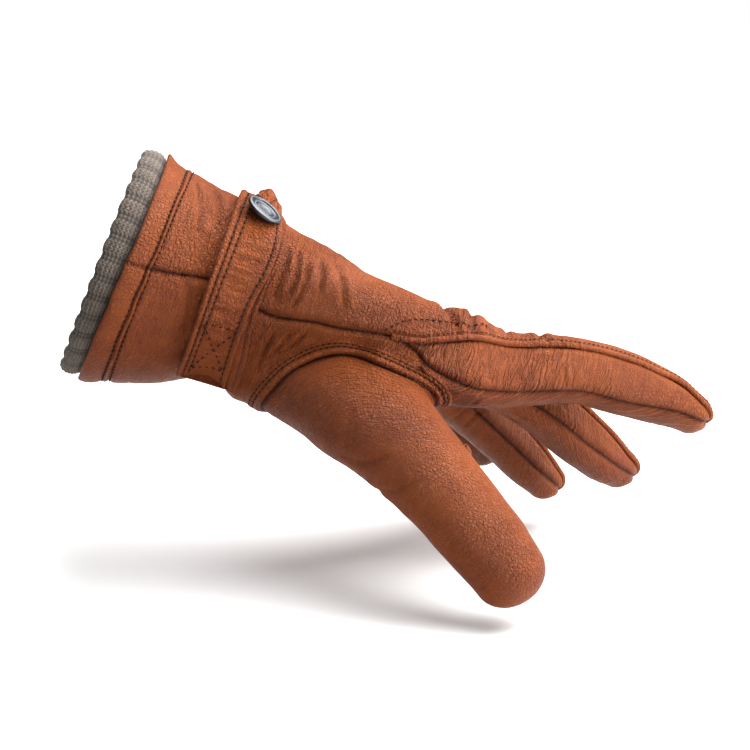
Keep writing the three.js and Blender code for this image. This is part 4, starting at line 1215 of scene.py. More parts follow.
def make_thumb():
    """Rings from the seam to the tip, the last one shut by a fan."""
    grid, tip = thumb_grid()
    rows, sides = grid.shape[:2]
    index = np.arange(rows * sides).reshape(rows, sides)
    points = np.concatenate([grid.reshape(-1, 3), np.atleast_2d(tip)[:1]])
    end = np.full(sides, rows * sides)
    fan_faces = np.stack([index[-1], end, np.roll(index[-1], -1), np.full(sides, -1)], axis=-1)
    faces = outwards(points, np.concatenate([quads_of(index, wrap=True), fan_faces]))
    points = settled(points, normals_of(points, faces), glove_field, 1)
    v = np.concatenate([[0], np.cumsum(np.linalg.norm(np.diff(grid, axis=0), axis=-1).mean(axis=1))])
    u = np.arange(sides) / sides * 90.0
    flat = np.stack(np.broadcast_arrays(u[None], v[:, None]), axis=-1).reshape(-1, 2)
    flat = np.concatenate([flat, [[0.0, v[-1] + 2]]])
    start = np.append(np.broadcast_to(v[:, None], (rows, sides)).reshape(-1), v[-1])
    extra = -1.2 * hump(start, 2.2)
    # Painted shade round the thumb's base, under the palm's lapped edge.
    dark = 0.9 * hump(start, 2.4)
    crease = np.full(len(points), 0.34)
    edge = np.full(len(points), NO_SEAM)
    obj = leather_piece("thumb_leather", points, faces, flat, edge, crease, extra, dark)
    return dress(obj, "leather", "thumb")


# Seams: lines on the leather, and what is sewn along them

def smooth_normal(p):
    return slope_of(glove_field, p)


def seam_path(rays, spacing=0.7):
    """The line where a row of rays leaves the form, evenly spaced."""
    line = landing(glove_field, *rays)
    line = spline(line, per=12)
    count = max(4, int(lengths(line)[-1] / spacing))
    line = along(line, np.linspace(0, lengths(line)[-1], count))
    return settled(line, smooth_normal(line), glove_field, 2)


def round_ahead(path):
    """The direction along a closed path at each of its points."""
    return unit(np.roll(path, -1, axis=0) - np.roll(path, 1, axis=0))


def shifted(path, aside, closed=False):
    """The path moved sideways over the leather by a distance."""
    ahead = round_ahead(path) if closed else unit(np.gradient(path, axis=0))
    moved = path + unit(np.cross(smooth_normal(path), ahead)) * np.reshape(aside, (-1, 1))
    return settled(moved, smooth_normal(moved), glove_field, 2)


def leather_height(p, edge):
    return soft_relief(p) * sizes().slack + fold_relief(p) + seam_relief(edge)


def stitches(name, lines, pitch=None, length=None, thick=1.0):
    """Short waxed threads lying along lines: each an arched capsule, sunk at both ends.

    Each line is a path, its normals and the height of the leather along it.
    """
    pitch = pitch if pitch else millimetres(sizes().stitch_pitch)
    length = length if length else millimetres(sizes().stitch_length)
    radius = millimetres(sizes().thread) * thick
    rings, sides = 5, 6
    share = np.linspace(0, 1, rings)
    bulge = np.sqrt(np.maximum(1 - (2 * share - 1) ** 4, 0.16))
    arch = 0.32 * (1 - (2 * share - 1) ** 2) - 0.12
    angle = np.arange(sides) / sides * 2 * math.pi
    points, faces, count = [], [], 0
    for path, normal, height in lines:
        total = lengths(path)[-1]
        number = max(1, int(total / pitch))
        middle = (np.arange(number) + 0.5) * total / number
        place = middle[:, None] + (share[None] - 0.5) * length
        spot = along(path, place.reshape(-1))
        at, s = place.reshape(-1), lengths(path)
        up = unit(np.stack([np.interp(at, s, normal[:, k]) for k in range(3)], axis=-1))
        rise = np.interp(at, s, height)
        ahead = unit(np.repeat(spot.reshape(number, rings, 3)[:, -1] - spot.reshape(number, rings, 3)[:, 0],
                               rings, axis=0))
        side = unit(np.cross(up, ahead))
        spot = spot + up * (rise + np.tile(arch, number))[:, None]
        around = (side[:, None] * np.cos(angle)[None, :, None] + up[:, None] * np.sin(angle)[None, :, None])
        ring = spot[:, None] + around * (radius * np.tile(bulge, number))[:, None, None]
        points.append(ring.reshape(-1, 3))
        one = tube_faces(rings, sides)
        faces.append((one[None] + (np.arange(number) * rings * sides)[:, None, None] + count).reshape(-1, 4))
        count += number * rings * sides
    obj = mesh_object(name, np.concatenate(points), np.concatenate(faces), thread())
    return dress(obj, "leather")


def welt_line(finger, hand):
    """The raised seam along one side of a finger's back, from the crotch to the tip."""
    first = PARTING[0][0] if (finger, hand) == (0, -1) else PARTING[finger + (hand > 0)][0]
    rows = np.arange(first, row_count(finger) + 0.01, 0.5)
    return seam_path(edge_ray(finger, hand, rows, "back"))


def make_welts():
    """A rounded lip of turned leather along each seam of the fingers' backs, wavy along its length."""
    points, faces, lines, count = [], [], [], 0
    high = millimetres(sizes().welt)
    for finger in range(4):
        for hand in (-1, 1):
            if (finger, hand) == (3, 1):
                continue
            path = welt_line(finger, hand)
            s = lengths(path)
            wave = 0.95 * noise(np.stack([s / 13, 0 * s + finger, 0 * s + hand], axis=-1), 7)
            swell = 0.25 * noise(np.stack([s / 4, 0 * s + finger, 0 * s + hand + 5], axis=-1), 8)
            taper = smooth(0, 7, s) * smooth(0, 5, s[-1] - s)
            inward = 1.0 if hand < 0 else -1.0
            ridge = shifted(path, inward * (0.55 + wave * 0.7))
            normal = smooth_normal(ridge)
            rise = leather_height(ridge, np.full(len(ridge), 1.2))
            ridge = ridge + normal * rise[:, None]
            turn = np.linspace(0, 2 * math.pi, 14, endpoint=False)
            profile = np.stack([1.15 * np.cos(turn), 0.62 * high * np.sin(turn) + 0.1 * high], axis=-1)
            height = (0.25 + 0.75 * taper) * (1 + 0.25 * swell)
            grid = swept(ridge, normal, profile, height)
            points.append(grid.reshape(-1, 3))
            faces.append(tube_faces(len(ridge), 14) + count)
            count += len(ridge) * 14
            row = shifted(path, inward * (2.6 + wave * 0.4))
            lines.append((row, smooth_normal(row), leather_height(row, np.full(len(row), 2.6)) + 0.1))
    points, faces = np.concatenate(points), np.concatenate(faces)
    faces = facing_out(points, faces)
    flat = np.stack([points[:, 1], points[:, 0]], axis=-1)
    marks = {"crease": np.full(len(points), 0.5), "shade": np.zeros(len(points))}
    dress(mesh_object("finger_welts", points, faces, leather(), flat, marks), "leather")
    stitches("welt_stitches", lines, pitch=1.8, length=1.1, thick=0.6)


def facing_out(points, faces):
    """Faces of a closed shape turned so that its volume is positive."""
    a, b, c, d = [points[np.where(faces < 0, faces[:, 2:3], faces)[:, k]] for k in range(4)]
    volume = (np.cross(b, c) * a).sum() + (np.cross(c, d) * a).sum()
    return faces if volume > 0 else turned(faces)


def make_thumb_lap():
    """The folded edge of the palm's leather, lapped over the thumb's along their seam."""
    count = ROUND_STEPS
    share = np.arange(count) / count
    path = landing(glove_field, OVAL_SEED + np.zeros((count, 3)), oval_way(share, 1.0))
    out = unit(np.cross(smooth_normal(path), round_ahead(path)))
    wide = landing(glove_field, OVAL_SEED + np.zeros((count, 3)), oval_way(share, 1.1))
    sign = 1.0 if ((wide - path) * out).sum() > 0 else -1.0
    s = lengths(path)
    wave = 0.25 * noise(np.stack([s / 7, 0 * s, 0 * s], axis=-1), 11)
    profile = [(-0.9, -1.5), (-1.25, -0.6), (-1.1, 0.35), (-0.6, 0.95), (0.0, 1.12), (0.7, 0.95), (1.3, 0.6),
               (1.6, 0.42), (1.9, 0.6), (2.4, 0.78), (2.8, 0.62), (3.1, 0.4), (3.4, 0.5), (3.9, 0.45),
               (4.6, 0.1), (5.4, -0.35), (5.0, -1.4)]
    rows = []
    for aside, above in profile:
        place = shifted(path, sign * (aside + wave), closed=True)
        lift = leather_height(place, np.full(count, NO_SEAM)) * (1 if above > -0.4 else 0) + above
        rows.append(place + smooth_normal(place) * lift[:, None])
    grid = np.stack(rows, axis=1)
    fine = np.linspace(0, len(profile) - 1, 49)
    grid = cubic(grid.swapaxes(0, 1), np.arange(len(profile)) * 1.0, fine).swapaxes(0, 1)
    faces = facing_out(grid.reshape(-1, 3), tube_faces(count, grid.shape[1], closed=True))
    points = grid.reshape(-1, 3)
    # Painted shade: darker under the lapped edge and in the two stitch grooves, as listed in hollows.
    hollows = [1, 0.9, 0.3, 0, 0, 0, 0.3, 0.5, 0.3, 0, 0.3, 0.5, 0.2, 0, 0.1, 0.4, 1]
    depth = np.interp(fine, range(len(profile)), hollows)
    marks = {"crease": np.full(len(points), 0.4), "shade": np.tile(depth * 0.6, count)}
    flat = np.stack(np.broadcast_arrays(fine[None, :], s[:, None]), axis=-1).reshape(-1, 2)
    dress(mesh_object("thumb_lap", points, faces, leather(), flat, marks), "leather")
    lines = []
    for aside in (1.6, 3.1):
        row = shifted(path, sign * (aside + wave), closed=True)
        row = np.vstack([row, row[:1]])
        height = leather_height(row, np.full(len(row), NO_SEAM)) + 0.5
        lines.append((row, smooth_normal(row), height))
    stitches("thumb_stitches", lines, thick=0.8)


# The cuff: everything that goes round the arm

ARM_X = np.arange(-2.0, 82.0, 4.0)
ARM_ANGLES = np.arange(-184.0, 185.0, 4.0)
ARM_TABLE = {}


def arm_table():
    """The leather's line round the arm on a fine grid of distance and angle, worked out once."""
    if not ARM_TABLE:
        x, angle = np.meshgrid(ARM_X, np.radians(ARM_ANGLES), indexing="ij")
        seed, way = fan(body.at(share_at(x.reshape(-1))), angle.reshape(-1))
        table = landing(glove_field, seed, way).reshape(x.shape + (3,))
        fine_x = np.arange(ARM_X[0], ARM_X[-1] + 0.01, 0.5)
        fine_angle = np.arange(ARM_ANGLES[0], ARM_ANGLES[-1] + 0.01, 1.0)
        table = cubic(table, ARM_X, fine_x)
        table = cubic(table.swapaxes(0, 1), ARM_ANGLES, fine_angle).swapaxes(0, 1)
        ARM_TABLE["points"] = table
    return ARM_TABLE["points"]


def arm(x, angle, lift=0.0):
    """Points round the arm at a distance along it and an angle in degrees from the top, and their normals."""
    table = arm_table()
    x, angle = np.broadcast_arrays(np.asarray(x, float), np.asarray(angle, float))
    shape = x.shape
    x, angle = x.reshape(-1), (angle.reshape(-1) + 180.0) % 360.0 - 180.0
    a = np.clip((x - ARM_X[0]) / 0.5, 0, table.shape[0] - 1.001)
    b = np.clip(angle - ARM_ANGLES[0], 0, table.shape[1] - 1.001)
    i, j = a.astype(int), b.astype(int)
    u, v = (a - i)[:, None], (b - j)[:, None]
    point = (table[i, j] * (1 - u) * (1 - v) + table[i + 1, j] * u * (1 - v)
             + table[i, j + 1] * (1 - u) * v + table[i + 1, j + 1] * u * v)
    station = body.at(share_at(x))
    turn = np.radians(angle)[:, None]
    way = station["across"] * np.sin(turn) + station["top"] * np.cos(turn)
    lift = np.broadcast_to(lift, shape).reshape(-1)[:, None]
    return (point + way * lift).reshape(shape + (3,)), way.reshape(shape + (3,))


def make_hem():
    """The turned hem: a folded roll of leather at the opening, with a narrow ridge behind the first row."""
    # The dark column is painted shade: in the first row's groove, under the roll's back edge and round its
    # turned-under side.
    profile = columns("x lift dark", [
        (17.0, -2.3, 0.6), (13.6, -2.5, 0.3), (11.2, -2.5, 0.2), (10.0, -2.1, 0.1), (9.25, -1.2, 0.0),
        (9.3, -0.3, 0.0), (10.1, 0.4, 0.0), (11.8, 0.6, 0.0), (13.8, 0.5, 0.0), (15.6, 0.3, 0.0),
        (16.7, 0.05, 0.15), (17.3, -0.4, 0.6), (17.7, -0.15, 0.3), (18.05, 0.3, 0.0), (18.5, 0.34, 0.0),
        (18.9, 0.0, 0.4), (19.0, -0.7, 0.9), (18.6, -1.3, 1.0), (17.8, -1.7, 1.0), (17.3, -2.0, 1.0),
    ])
    at = np.arange(len(profile["x"])) * 1.0
    fine = np.linspace(0, at[-1], 80)
    x, lift, dark = [cubic(profile[name], at, fine) for name in ("x", "lift", "dark")]
    count = ROUND_STEPS
    angle = (np.arange(count) / count * 360.0 - 180.0)[:, None]
    wander = 0.25 * noise(np.concatenate([angle / 9, 0 * angle, 0 * angle], axis=1), 21)[:, None]
    x = slanted(x[None], np.radians(angle)) + wander * (lift > -1.6)
    points, way = arm(x, np.broadcast_to(angle, x.shape))
    seam = sum(hump((angle - centre + 180) % 360 - 180, 1.2) for centre in (-90, 90))
    outer = (lift > -1.0)[None]
    soft = soft_relief(points.reshape(-1, 3)).reshape(x.shape) * 0.8
    flare = 0.35 * smooth(0.55, 1.0, np.cos(np.radians(angle))) * hump(x - 15.0, 5.0)
    rise = lift[None] + np.where(outer, soft - 0.7 * seam, 0) + flare
    points = points + way * rise[..., None]
    faces = tube_faces(count, x.shape[1], closed=True)
    flat = np.stack(np.broadcast_arrays(x, angle * 0.7), axis=-1).reshape(-1, 2)
    # Painted shade from the dark column, and in the grooves of the two side seams.
    shade = np.clip(dark[None] + 0.6 * seam * outer, 0, 1)
    marks = {"crease": np.full(x.size, 0.2), "shade": shade.reshape(-1)}
    points = points.reshape(-1, 3)
    obj = mesh_object("hem_leather", points, facing_out(points, faces), leather(), flat, marks)
    dress(obj, "leather", "cuff_hem")
    around = np.linspace(-180, 180, 500)
    lines = []
    for place, height in ((17.3, -0.3), (19.35, -0.1)):
        row, way = arm(slanted(place, np.radians(around)), around)
        lines.append((row, way, soft_relief(row) * 0.8 + height))
    stitches("hem_stitches", lines)


KNIT = columns("x lift rib", [
    (30.0, -2.7, 0.1), (19.0, -3.2, 0.1), (11.4, -3.9, 0.2), (8.8, -2.6, 0.5), (6.0, -1.3, 1.0),
    (2.8, -0.7, 1.0), (1.3, -1.1, 0.9), (0.5, -2.2, 0.7), (1.0, -3.5, 0.6), (2.6, -4.2, 0.6),
    (9.0, -4.7, 0.5), (17.0, -5.4, 0.4), (24.0, -5.4, 0.2), (30.0, -5.2, 0.1),
])
KNIT_RIBS = 30
RIB_WALES = 5
KNIT_ROW = 1.45


def make_knit():
    """Ribs of five wales, three raised and two sunk, each a chain of slanted stitches."""
    at = np.arange(len(KNIT["x"])) * 1.0
    fine = np.linspace(0, at[-1], 400)
    x, lift, rib = [cubic(KNIT[name], at, fine) for name in ("x", "lift", "rib")]
    s = lengths(np.stack([x, lift], axis=-1))
    even = np.concatenate([
        np.linspace(0, s[-1] * 0.27, 6, endpoint=False),
        np.linspace(s[-1] * 0.27, s[-1] * 0.7, 76, endpoint=False),
        np.linspace(s[-1] * 0.7, s[-1], 8),
    ])
    x, lift, rib = [np.interp(even, s, values) for values in (x, lift, rib)]
    count = KNIT_RIBS * RIB_WALES * 7
    angle = np.arange(count) / count * 360.0 - 180.0
    wobble = 1.2 * noise(np.stack([angle / 25, 0 * angle, 0 * angle], axis=-1), 31)
    wale = (angle + wobble)[:, None] / 360.0 * KNIT_RIBS * RIB_WALES + 0 * even[None]
    number = np.floor(wale)
    inside = wale - number
    leg = np.abs(inside - 0.5) * 2
    turn = (wale / RIB_WALES) * 2 * math.pi
    row = even[None] / KNIT_ROW - 0.5 * leg
    arch = np.sin(math.pi * np.clip(leg * 0.9 + 0.05, 0, 1)) ** 0.6
    stitch = (0.5 + 0.5 * np.cos(2 * math.pi * row)) ** 0.7 * arch
    across = np.sin(math.pi * inside) ** 0.6
    raised = smooth(-0.45, 0.1, np.cos(turn))
    knots = (0.5 + 0.5 * np.cos(2 * math.pi * even[None] / KNIT_ROW)) ** 0.7 * across
    fuzz_place = np.stack([wale * 3, even[None] * 2.3 + 0 * wale, 0 * wale], axis=-1)
    fuzz = 0.12 * noise(fuzz_place.reshape(-1, 3), 33)
    pattern = raised * stitch + (1 - raised) * 0.6 * knots
    high = 0.5 * np.cos(turn) * millimetres(sizes().rib)
    relief = (high + 0.68 * pattern + fuzz.reshape(wale.shape)) * rib[None]
    scallop = 0.1 * np.cos(turn) * smooth(5.0, 1.5, x)[None]
    place = slanted(x[None] - scallop, np.radians(angle)[:, None])
    points, way = arm(place, angle[:, None] + 0 * even[None])
    ahead = body.at(share_at(np.clip(x, 0, 30)))["ahead"]
    out_lift, out_ahead = -np.gradient(x, even), np.gradient(lift, even)
    size = np.hypot(out_lift, out_ahead)
    points = (points + way * (lift[None] + relief * (out_lift / size)[None])[..., None]
              + ahead[None] * (relief * (out_ahead / size)[None])[..., None])
    faces = tube_faces(count, len(even), closed=True)
    points = points.reshape(-1, 3)
    # Painted shade: dark between the stitches and on the sunk wales, and darker again deeper inside the cuff.
    inner_shade = 0.7 * smooth(7.0, 11.0, x)[None]
    shade = np.clip((1 - pattern) ** 1.3 * 0.95 + 0.08 * (1 - raised) + inner_shade, 0, 1)
    marks = {"shade": (shade * np.ones_like(wale)).reshape(-1)}
    flat = np.stack(np.broadcast_arrays(wale * 2, even[None] + 0 * wale), axis=-1).reshape(-1, 2)
    material = knit_material("heather_knit")
    obj = mesh_object("knit_rib", points, facing_out(points, faces), material, flat, marks)
    return dress(obj, "knit", "knit_cuff")


STRAP = columns("angle left right", [
    (-152, 33.6, 56.0), (-133, 35.5, 56.0), (-116, 37.0, 56.6), (-95, 38.9, 58.2), (-80, 40.2, 60.8),
    (-65, 41.4, 62.3), (-50, 42.4, 61.9), (-33, 43.4, 59.8), (-17, 44.3, 56.0),
])
TAB = columns("angle left right rise", [
    (-152, 40.0, 60.8, 0.2), (-133, 41.0, 61.2, 0.2), (-116, 42.0, 60.3, 0.1), (-90, 43.4, 61.0, 0),
    (-64, 44.0, 64.4, 0), (-48, 44.0, 64.6, 0), (-27, 44.6, 62.6, 0), (-14, 48.0, 60.2, 0),
    (-3, 50.0, 59.6, 2.4), (8, 50.0, 59.5, 3.6), (24, 49.0, 60.5, 2.0), (50, 46.0, 62.5, 0.3),
    (91, 45.0, 62.0, 0),
])


def band(table, step, profile, lift_at, end):
    """A flat band part of the way round the arm, its closed profile pinched towards both ends."""
    angle = np.arange(table["angle"][0], table["angle"][-1] + 0.01, step)
    left = cubic(table["left"], table["angle"], angle)
    right = cubic(table["right"], table["angle"], angle)
    x = np.where(profile[None, :, 0] < 0.5, left[:, None] + profile[None, :, 1],
                 right[:, None] - profile[None, :, 1])
    ends = np.minimum(angle - angle[0], angle[-1] - angle) * 0.6
    pinch = np.sqrt(np.clip(1 - (1 - np.clip(ends / end, 0, 1)) ** 2, 0.02, 1))[:, None]
    middle = profile[None, :, 2].mean()
    height = lift_at(angle)[:, None] + middle + (profile[None, :, 2] - middle) * pinch
    points, way = arm(x, angle[:, None] + 0 * x)
    points = points + way * height[..., None]
    return points, x, angle, left, right


def strap_lift(angle):
    """The tab lies on the leather, and the strap on the tab, looser under the snap."""
    return 1.75 + 0.35 * smooth(-75, -45, angle)


def tab_lift(angle):
    """The tab lies on the leather and rises clear of it just past the strap's end."""
    return 0.4 + np.interp(angle, TAB["angle"], TAB["rise"])


# Across the strap: which edge, distance in from it, and height
STRAP_PROFILE = [
    (0, 0.35, -0.5), (0, 0.0, -0.1), (0, -0.15, 0.7), (0, 0.05, 1.45), (0, 0.6, 1.95), (0, 1.3, 1.98),
    (0, 1.9, 1.6), (0, 2.35, 1.15), (0, 2.9, 1.5), (0, 3.8, 1.75), (0, 4.6, 1.4), (0, 5.4, 1.75),
    (0, 7.5, 1.95), (1, 7.5, 2.0), (1, 4.6, 1.85), (1, 3.3, 1.75), (1, 2.3, 1.35), (1, 1.5, 1.6),
    (1, 0.7, 1.75), (1, 0.1, 1.35), (1, -0.1, 0.7), (1, 0.0, 0.0), (1, 0.35, -0.3), (1, 5.0, -0.3),
    (0, 5.0, -0.3), (0, 2.0, -0.5),
]
TAB_PROFILE = [
    (0, 0.2, 0.1), (0, 0.0, 0.5), (0, 0.2, 1.0), (0, 0.9, 1.25), (0, 1.8, 1.0), (0, 3.0, 1.2),
    (0, 7.0, 1.2), (1, 7.0, 1.2), (1, 3.0, 1.15), (1, 1.9, 0.95), (1, 1.0, 1.25), (1, 0.2, 1.15),
    (1, -0.1, 0.6), (1, 0.2, 0.1), (1, 5.0, 0.0), (0, 5.0, 0.0),
]


def refined(profile, each=3):
    """The profile with more points between its rows, on straight lines."""
    profile = np.asarray(profile, float)
    following = np.roll(profile, -1, axis=0)
    t = np.arange(each) / each
    same = profile[:, 0] == following[:, 0]
    fine = profile[:, None] * (1 - t)[None, :, None] + following[:, None] * t[None, :, None]
    fine[~same, 1:] = profile[~same][:, None]
    keep = same[:, None] | (t == 0)[None]
    return fine[keep]


def band_object(name, points, x, angle, shade):
    """A closed band from its profile, which needs an even number of points."""
    rows, cols = points.shape[:2]
    flat_points = points.reshape(-1, 3)
    faces = facing_out(flat_points, tube_faces(rows, cols))
    flat = np.stack(np.broadcast_arrays(x, angle[:, None] * 0.65), axis=-1).reshape(-1, 2)
    marks = {"crease": np.full(len(flat_points), 0.25), "shade": shade.reshape(-1)}
    return mesh_object(name, flat_points, faces, leather(), flat, marks)


def make_strap():
    """The wrist strap with its turned edges, and the stitches along it."""
    profile = refined(STRAP_PROFILE)
    points, x, angle, left, right = band(STRAP, 1.0, profile, strap_lift, end=1.6)
    way = arm(x, angle[:, None] + 0 * x)[1]
    top = (profile[None, :, 2] > 1.1) * 1.0
    across = (x - left[:, None]) / (right - left)[:, None]
    inside = smooth(0.2, 0.35, across) * smooth(0.85, 0.7, across)
    ripple = noise(np.stack([x / 4.0, angle[:, None] / 2.2 + 0 * x, 0 * x], axis=-1).reshape(-1, 3), 41)
    low = smooth(-52, -70, angle)[:, None] * smooth(-150, -120, angle)[:, None]
    bumps = (soft_relief(points.reshape(-1, 3) + 40.0).reshape(x.shape) * 0.8
             + 0.45 * ripple.reshape(x.shape) * inside * low)
    points = points + way * (bumps * top)[..., None]
    # Painted shade: dark on the strap's underside and in the grooves beside its stitch rows.
    near_left, near_right = profile[:, 0] < 0.5, profile[:, 0] > 0.5
    groove = (hump(profile[:, 1] - 2.35, 0.45) * near_left + 0.6 * hump(profile[:, 1] - 4.6, 0.5) * near_left
              + 0.7 * hump(profile[:, 1] - 2.3, 0.5) * near_right)
    shade = np.broadcast_to(np.where(profile[:, 2] < 0.4, 0.9, groove * 0.75), x.shape)
    dress(band_object("strap_leather", points, x, angle, shade), "leather", "strap")
    around = np.linspace(-149, -19, 260)
    left = cubic(STRAP["left"], STRAP["angle"], around)
    right = cubic(STRAP["right"], STRAP["angle"], around)
    lines = []
    for place, height in ((left + 2.35, 1.15), (left + 4.6, 1.4), (right - 2.3, 1.35)):
        row, way = arm(place, around)
        lines.append((row, way, strap_lift(around) + height + 0.1 + soft_relief(row + 40.0) * 0.8))
    lines += box_lines()
    stitches("strap_stitches", lines)


BOX = [(40.25, -115.0), (55.2, -115.5), (53.25, -142.0), (39.0, -144.5)]


def box_lines():
    """The stitched box and cross at the strap's sewn end."""
    lines = []
    for i, j in ((0, 1), (2, 3), (0, 2), (1, 3)):
        x, angle = [np.linspace(BOX[i][k], BOX[j][k], 60) for k in range(2)]
        row, way = arm(x, angle)
        lines.append((row, way, strap_lift(angle) + 1.95 + soft_relief(row + 40.0) * 0.8))
    return lines


def make_tab():
    """The tab of leather under the strap, which shows along the strap's right edge and past its end."""
    profile = refined(TAB_PROFILE)
    points, x, angle, left, right = band(TAB, 1.2, profile, tab_lift, end=1.0)
    across = (x - left[:, None]) / (right - left)[:, None]
    crest = 3.4 * hump(across - 0.42, 0.34) * hump(angle - 4, 15)[:, None]
    points = points + arm(x, angle[:, None] + 0 * x)[1] * crest[..., None]
    # Painted shade on the tab's underside and edges and in its stitch grooves.
    shade = np.broadcast_to(np.where(profile[:, 2] < 1.05, 0.5, 0.05), x.shape)
    dress(band_object("tab_leather", points, x, angle, shade), "leather", "strap_tab")
    around = np.linspace(-10, 89, 240)
    lines = []
    for name, aside in (("left", 1.8), ("right", -1.9)):
        row, way = arm(cubic(TAB[name], TAB["angle"], around) + aside, around)
        lines.append((row, way, tab_lift(around) + 1.1))
    stitches("tab_stitches", lines)


SNAP_PLACE = (50.7, -41.0)
SNAP_OUT = unit(np.array([0.62, -0.36, 0.7]))
SNAP_SCALE = 0.93


def make_snap():
    """The snap's cap: a turned profile with plain rings, a rolled rim and a low dished middle."""
    profile = np.array([
        (0.0, 5.0), (6.6, 5.0), (7.4, 5.05), (7.85, 5.3), (7.95, 5.75), (7.8, 6.25), (7.4, 6.52),
        (6.95, 6.6), (6.55, 6.5), (6.3, 6.2), (6.15, 5.95), (5.85, 5.85), (5.55, 5.98), (5.25, 6.16),
        (4.9, 6.24), (4.55, 6.2), (4.3, 6.0), (4.1, 5.86), (3.85, 5.86), (3.6, 5.98), (3.35, 6.08),
        (3.0, 6.08), (2.6, 5.98), (1.6, 5.88), (0.6, 5.86), (0.0, 5.86),
    ])
    fine = spline(profile, per=5)
    sides = 128
    middle = arm(np.array([SNAP_PLACE[0]]), np.array([SNAP_PLACE[1]]))[0]
    across = unit(np.cross(SNAP_OUT, [1.0, 0, 0]))
    along_arm = np.cross(across, SNAP_OUT)
    turn = np.arange(sides) / sides * 2 * math.pi
    round_way = across * np.cos(turn)[:, None] + along_arm * np.sin(turn)[:, None]
    inner = fine[1:-1]
    grid = middle[0] + round_way[None] * inner[:, None, :1] * SNAP_SCALE + SNAP_OUT * inner[:, None, 1:]
    index = np.arange(len(inner) * sides).reshape(len(inner), sides)
    poles = middle[0] + SNAP_OUT * fine[[0, -1], 1:]
    base = len(inner) * sides
    ends = []
    for ring, pole, flip in ((index[0], base, True), (index[-1], base + 1, False)):
        fan_faces = np.stack([ring, np.full(sides, pole), np.roll(ring, -1), np.full(sides, -1)], axis=-1)
        ends.append(turned(fan_faces) if flip else fan_faces)
    points = np.concatenate([grid.reshape(-1, 3), poles])
    faces = facing_out(points, np.concatenate([quads_of(index, wrap=True)] + ends))
    # Painted shade: darker in the grooves between the rings and on the rim's outer side, and dark over the
    # skirt underneath and its lower pole.
    groove = np.interp(inner[:, 0], [0, 3.0, 3.85, 4.2, 4.6, 5.0, 5.5, 6.2, 6.8, 7.4, 7.9],
                       [0.25, 0.1, 0.85, 0.7, 0.0, 0.1, 0.8, 0.8, 0.0, 0.1, 0.6])
    groove = np.where(inner[:, 1] < 5.7, 0.75, groove)
    shade = np.concatenate([np.repeat(groove, sides), [0.7, 0.1]])
    metal = metal_material("gunmetal")
    obj = mesh_object("snap_button", points, faces, metal, marks={"shade": shade})
    dress(obj, "gunmetal", "snap_cap")
    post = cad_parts["snap_post"]
    post.data.materials.clear()
    post.data.materials.append(metal)


DECORATION = [(384, 331), (391, 327), (405, 321), (426, 320), (447, 323), (475, 326), (489, 327)]


def make_trim():
    """The row of ornamental stitches on the back."""
    path = from_photo(spline(np.array(DECORATION, float), per=10))
    path = along(path, np.arange(0, lengths(path)[-1], 0.6))
    path = settled(path, smooth_normal(path), glove_field, 2)
    height = leather_height(path, np.full(len(path), 4.0)) + 0.12
    stitches("back_stitches", [(path, smooth_normal(path), height)])


# The stage, in metres in the model's frame

FLOOR_SIZE = 3.0
FLOOR_HEIGHT = -0.118
# Soft lights: where they stand, their power in watts and how wide they are
LIGHTS = {
    "overhead": ((0.45, 0.12, 0.74), 32.0, 1.1),
    "right": ((0.85, -0.2, 0.0), 9.0, 0.4),
    "front": ((-0.3, -0.9, 0.5), 0.15, 0.6),
}
LIT_POINT = Vector((0.1, 0.0, -0.03))


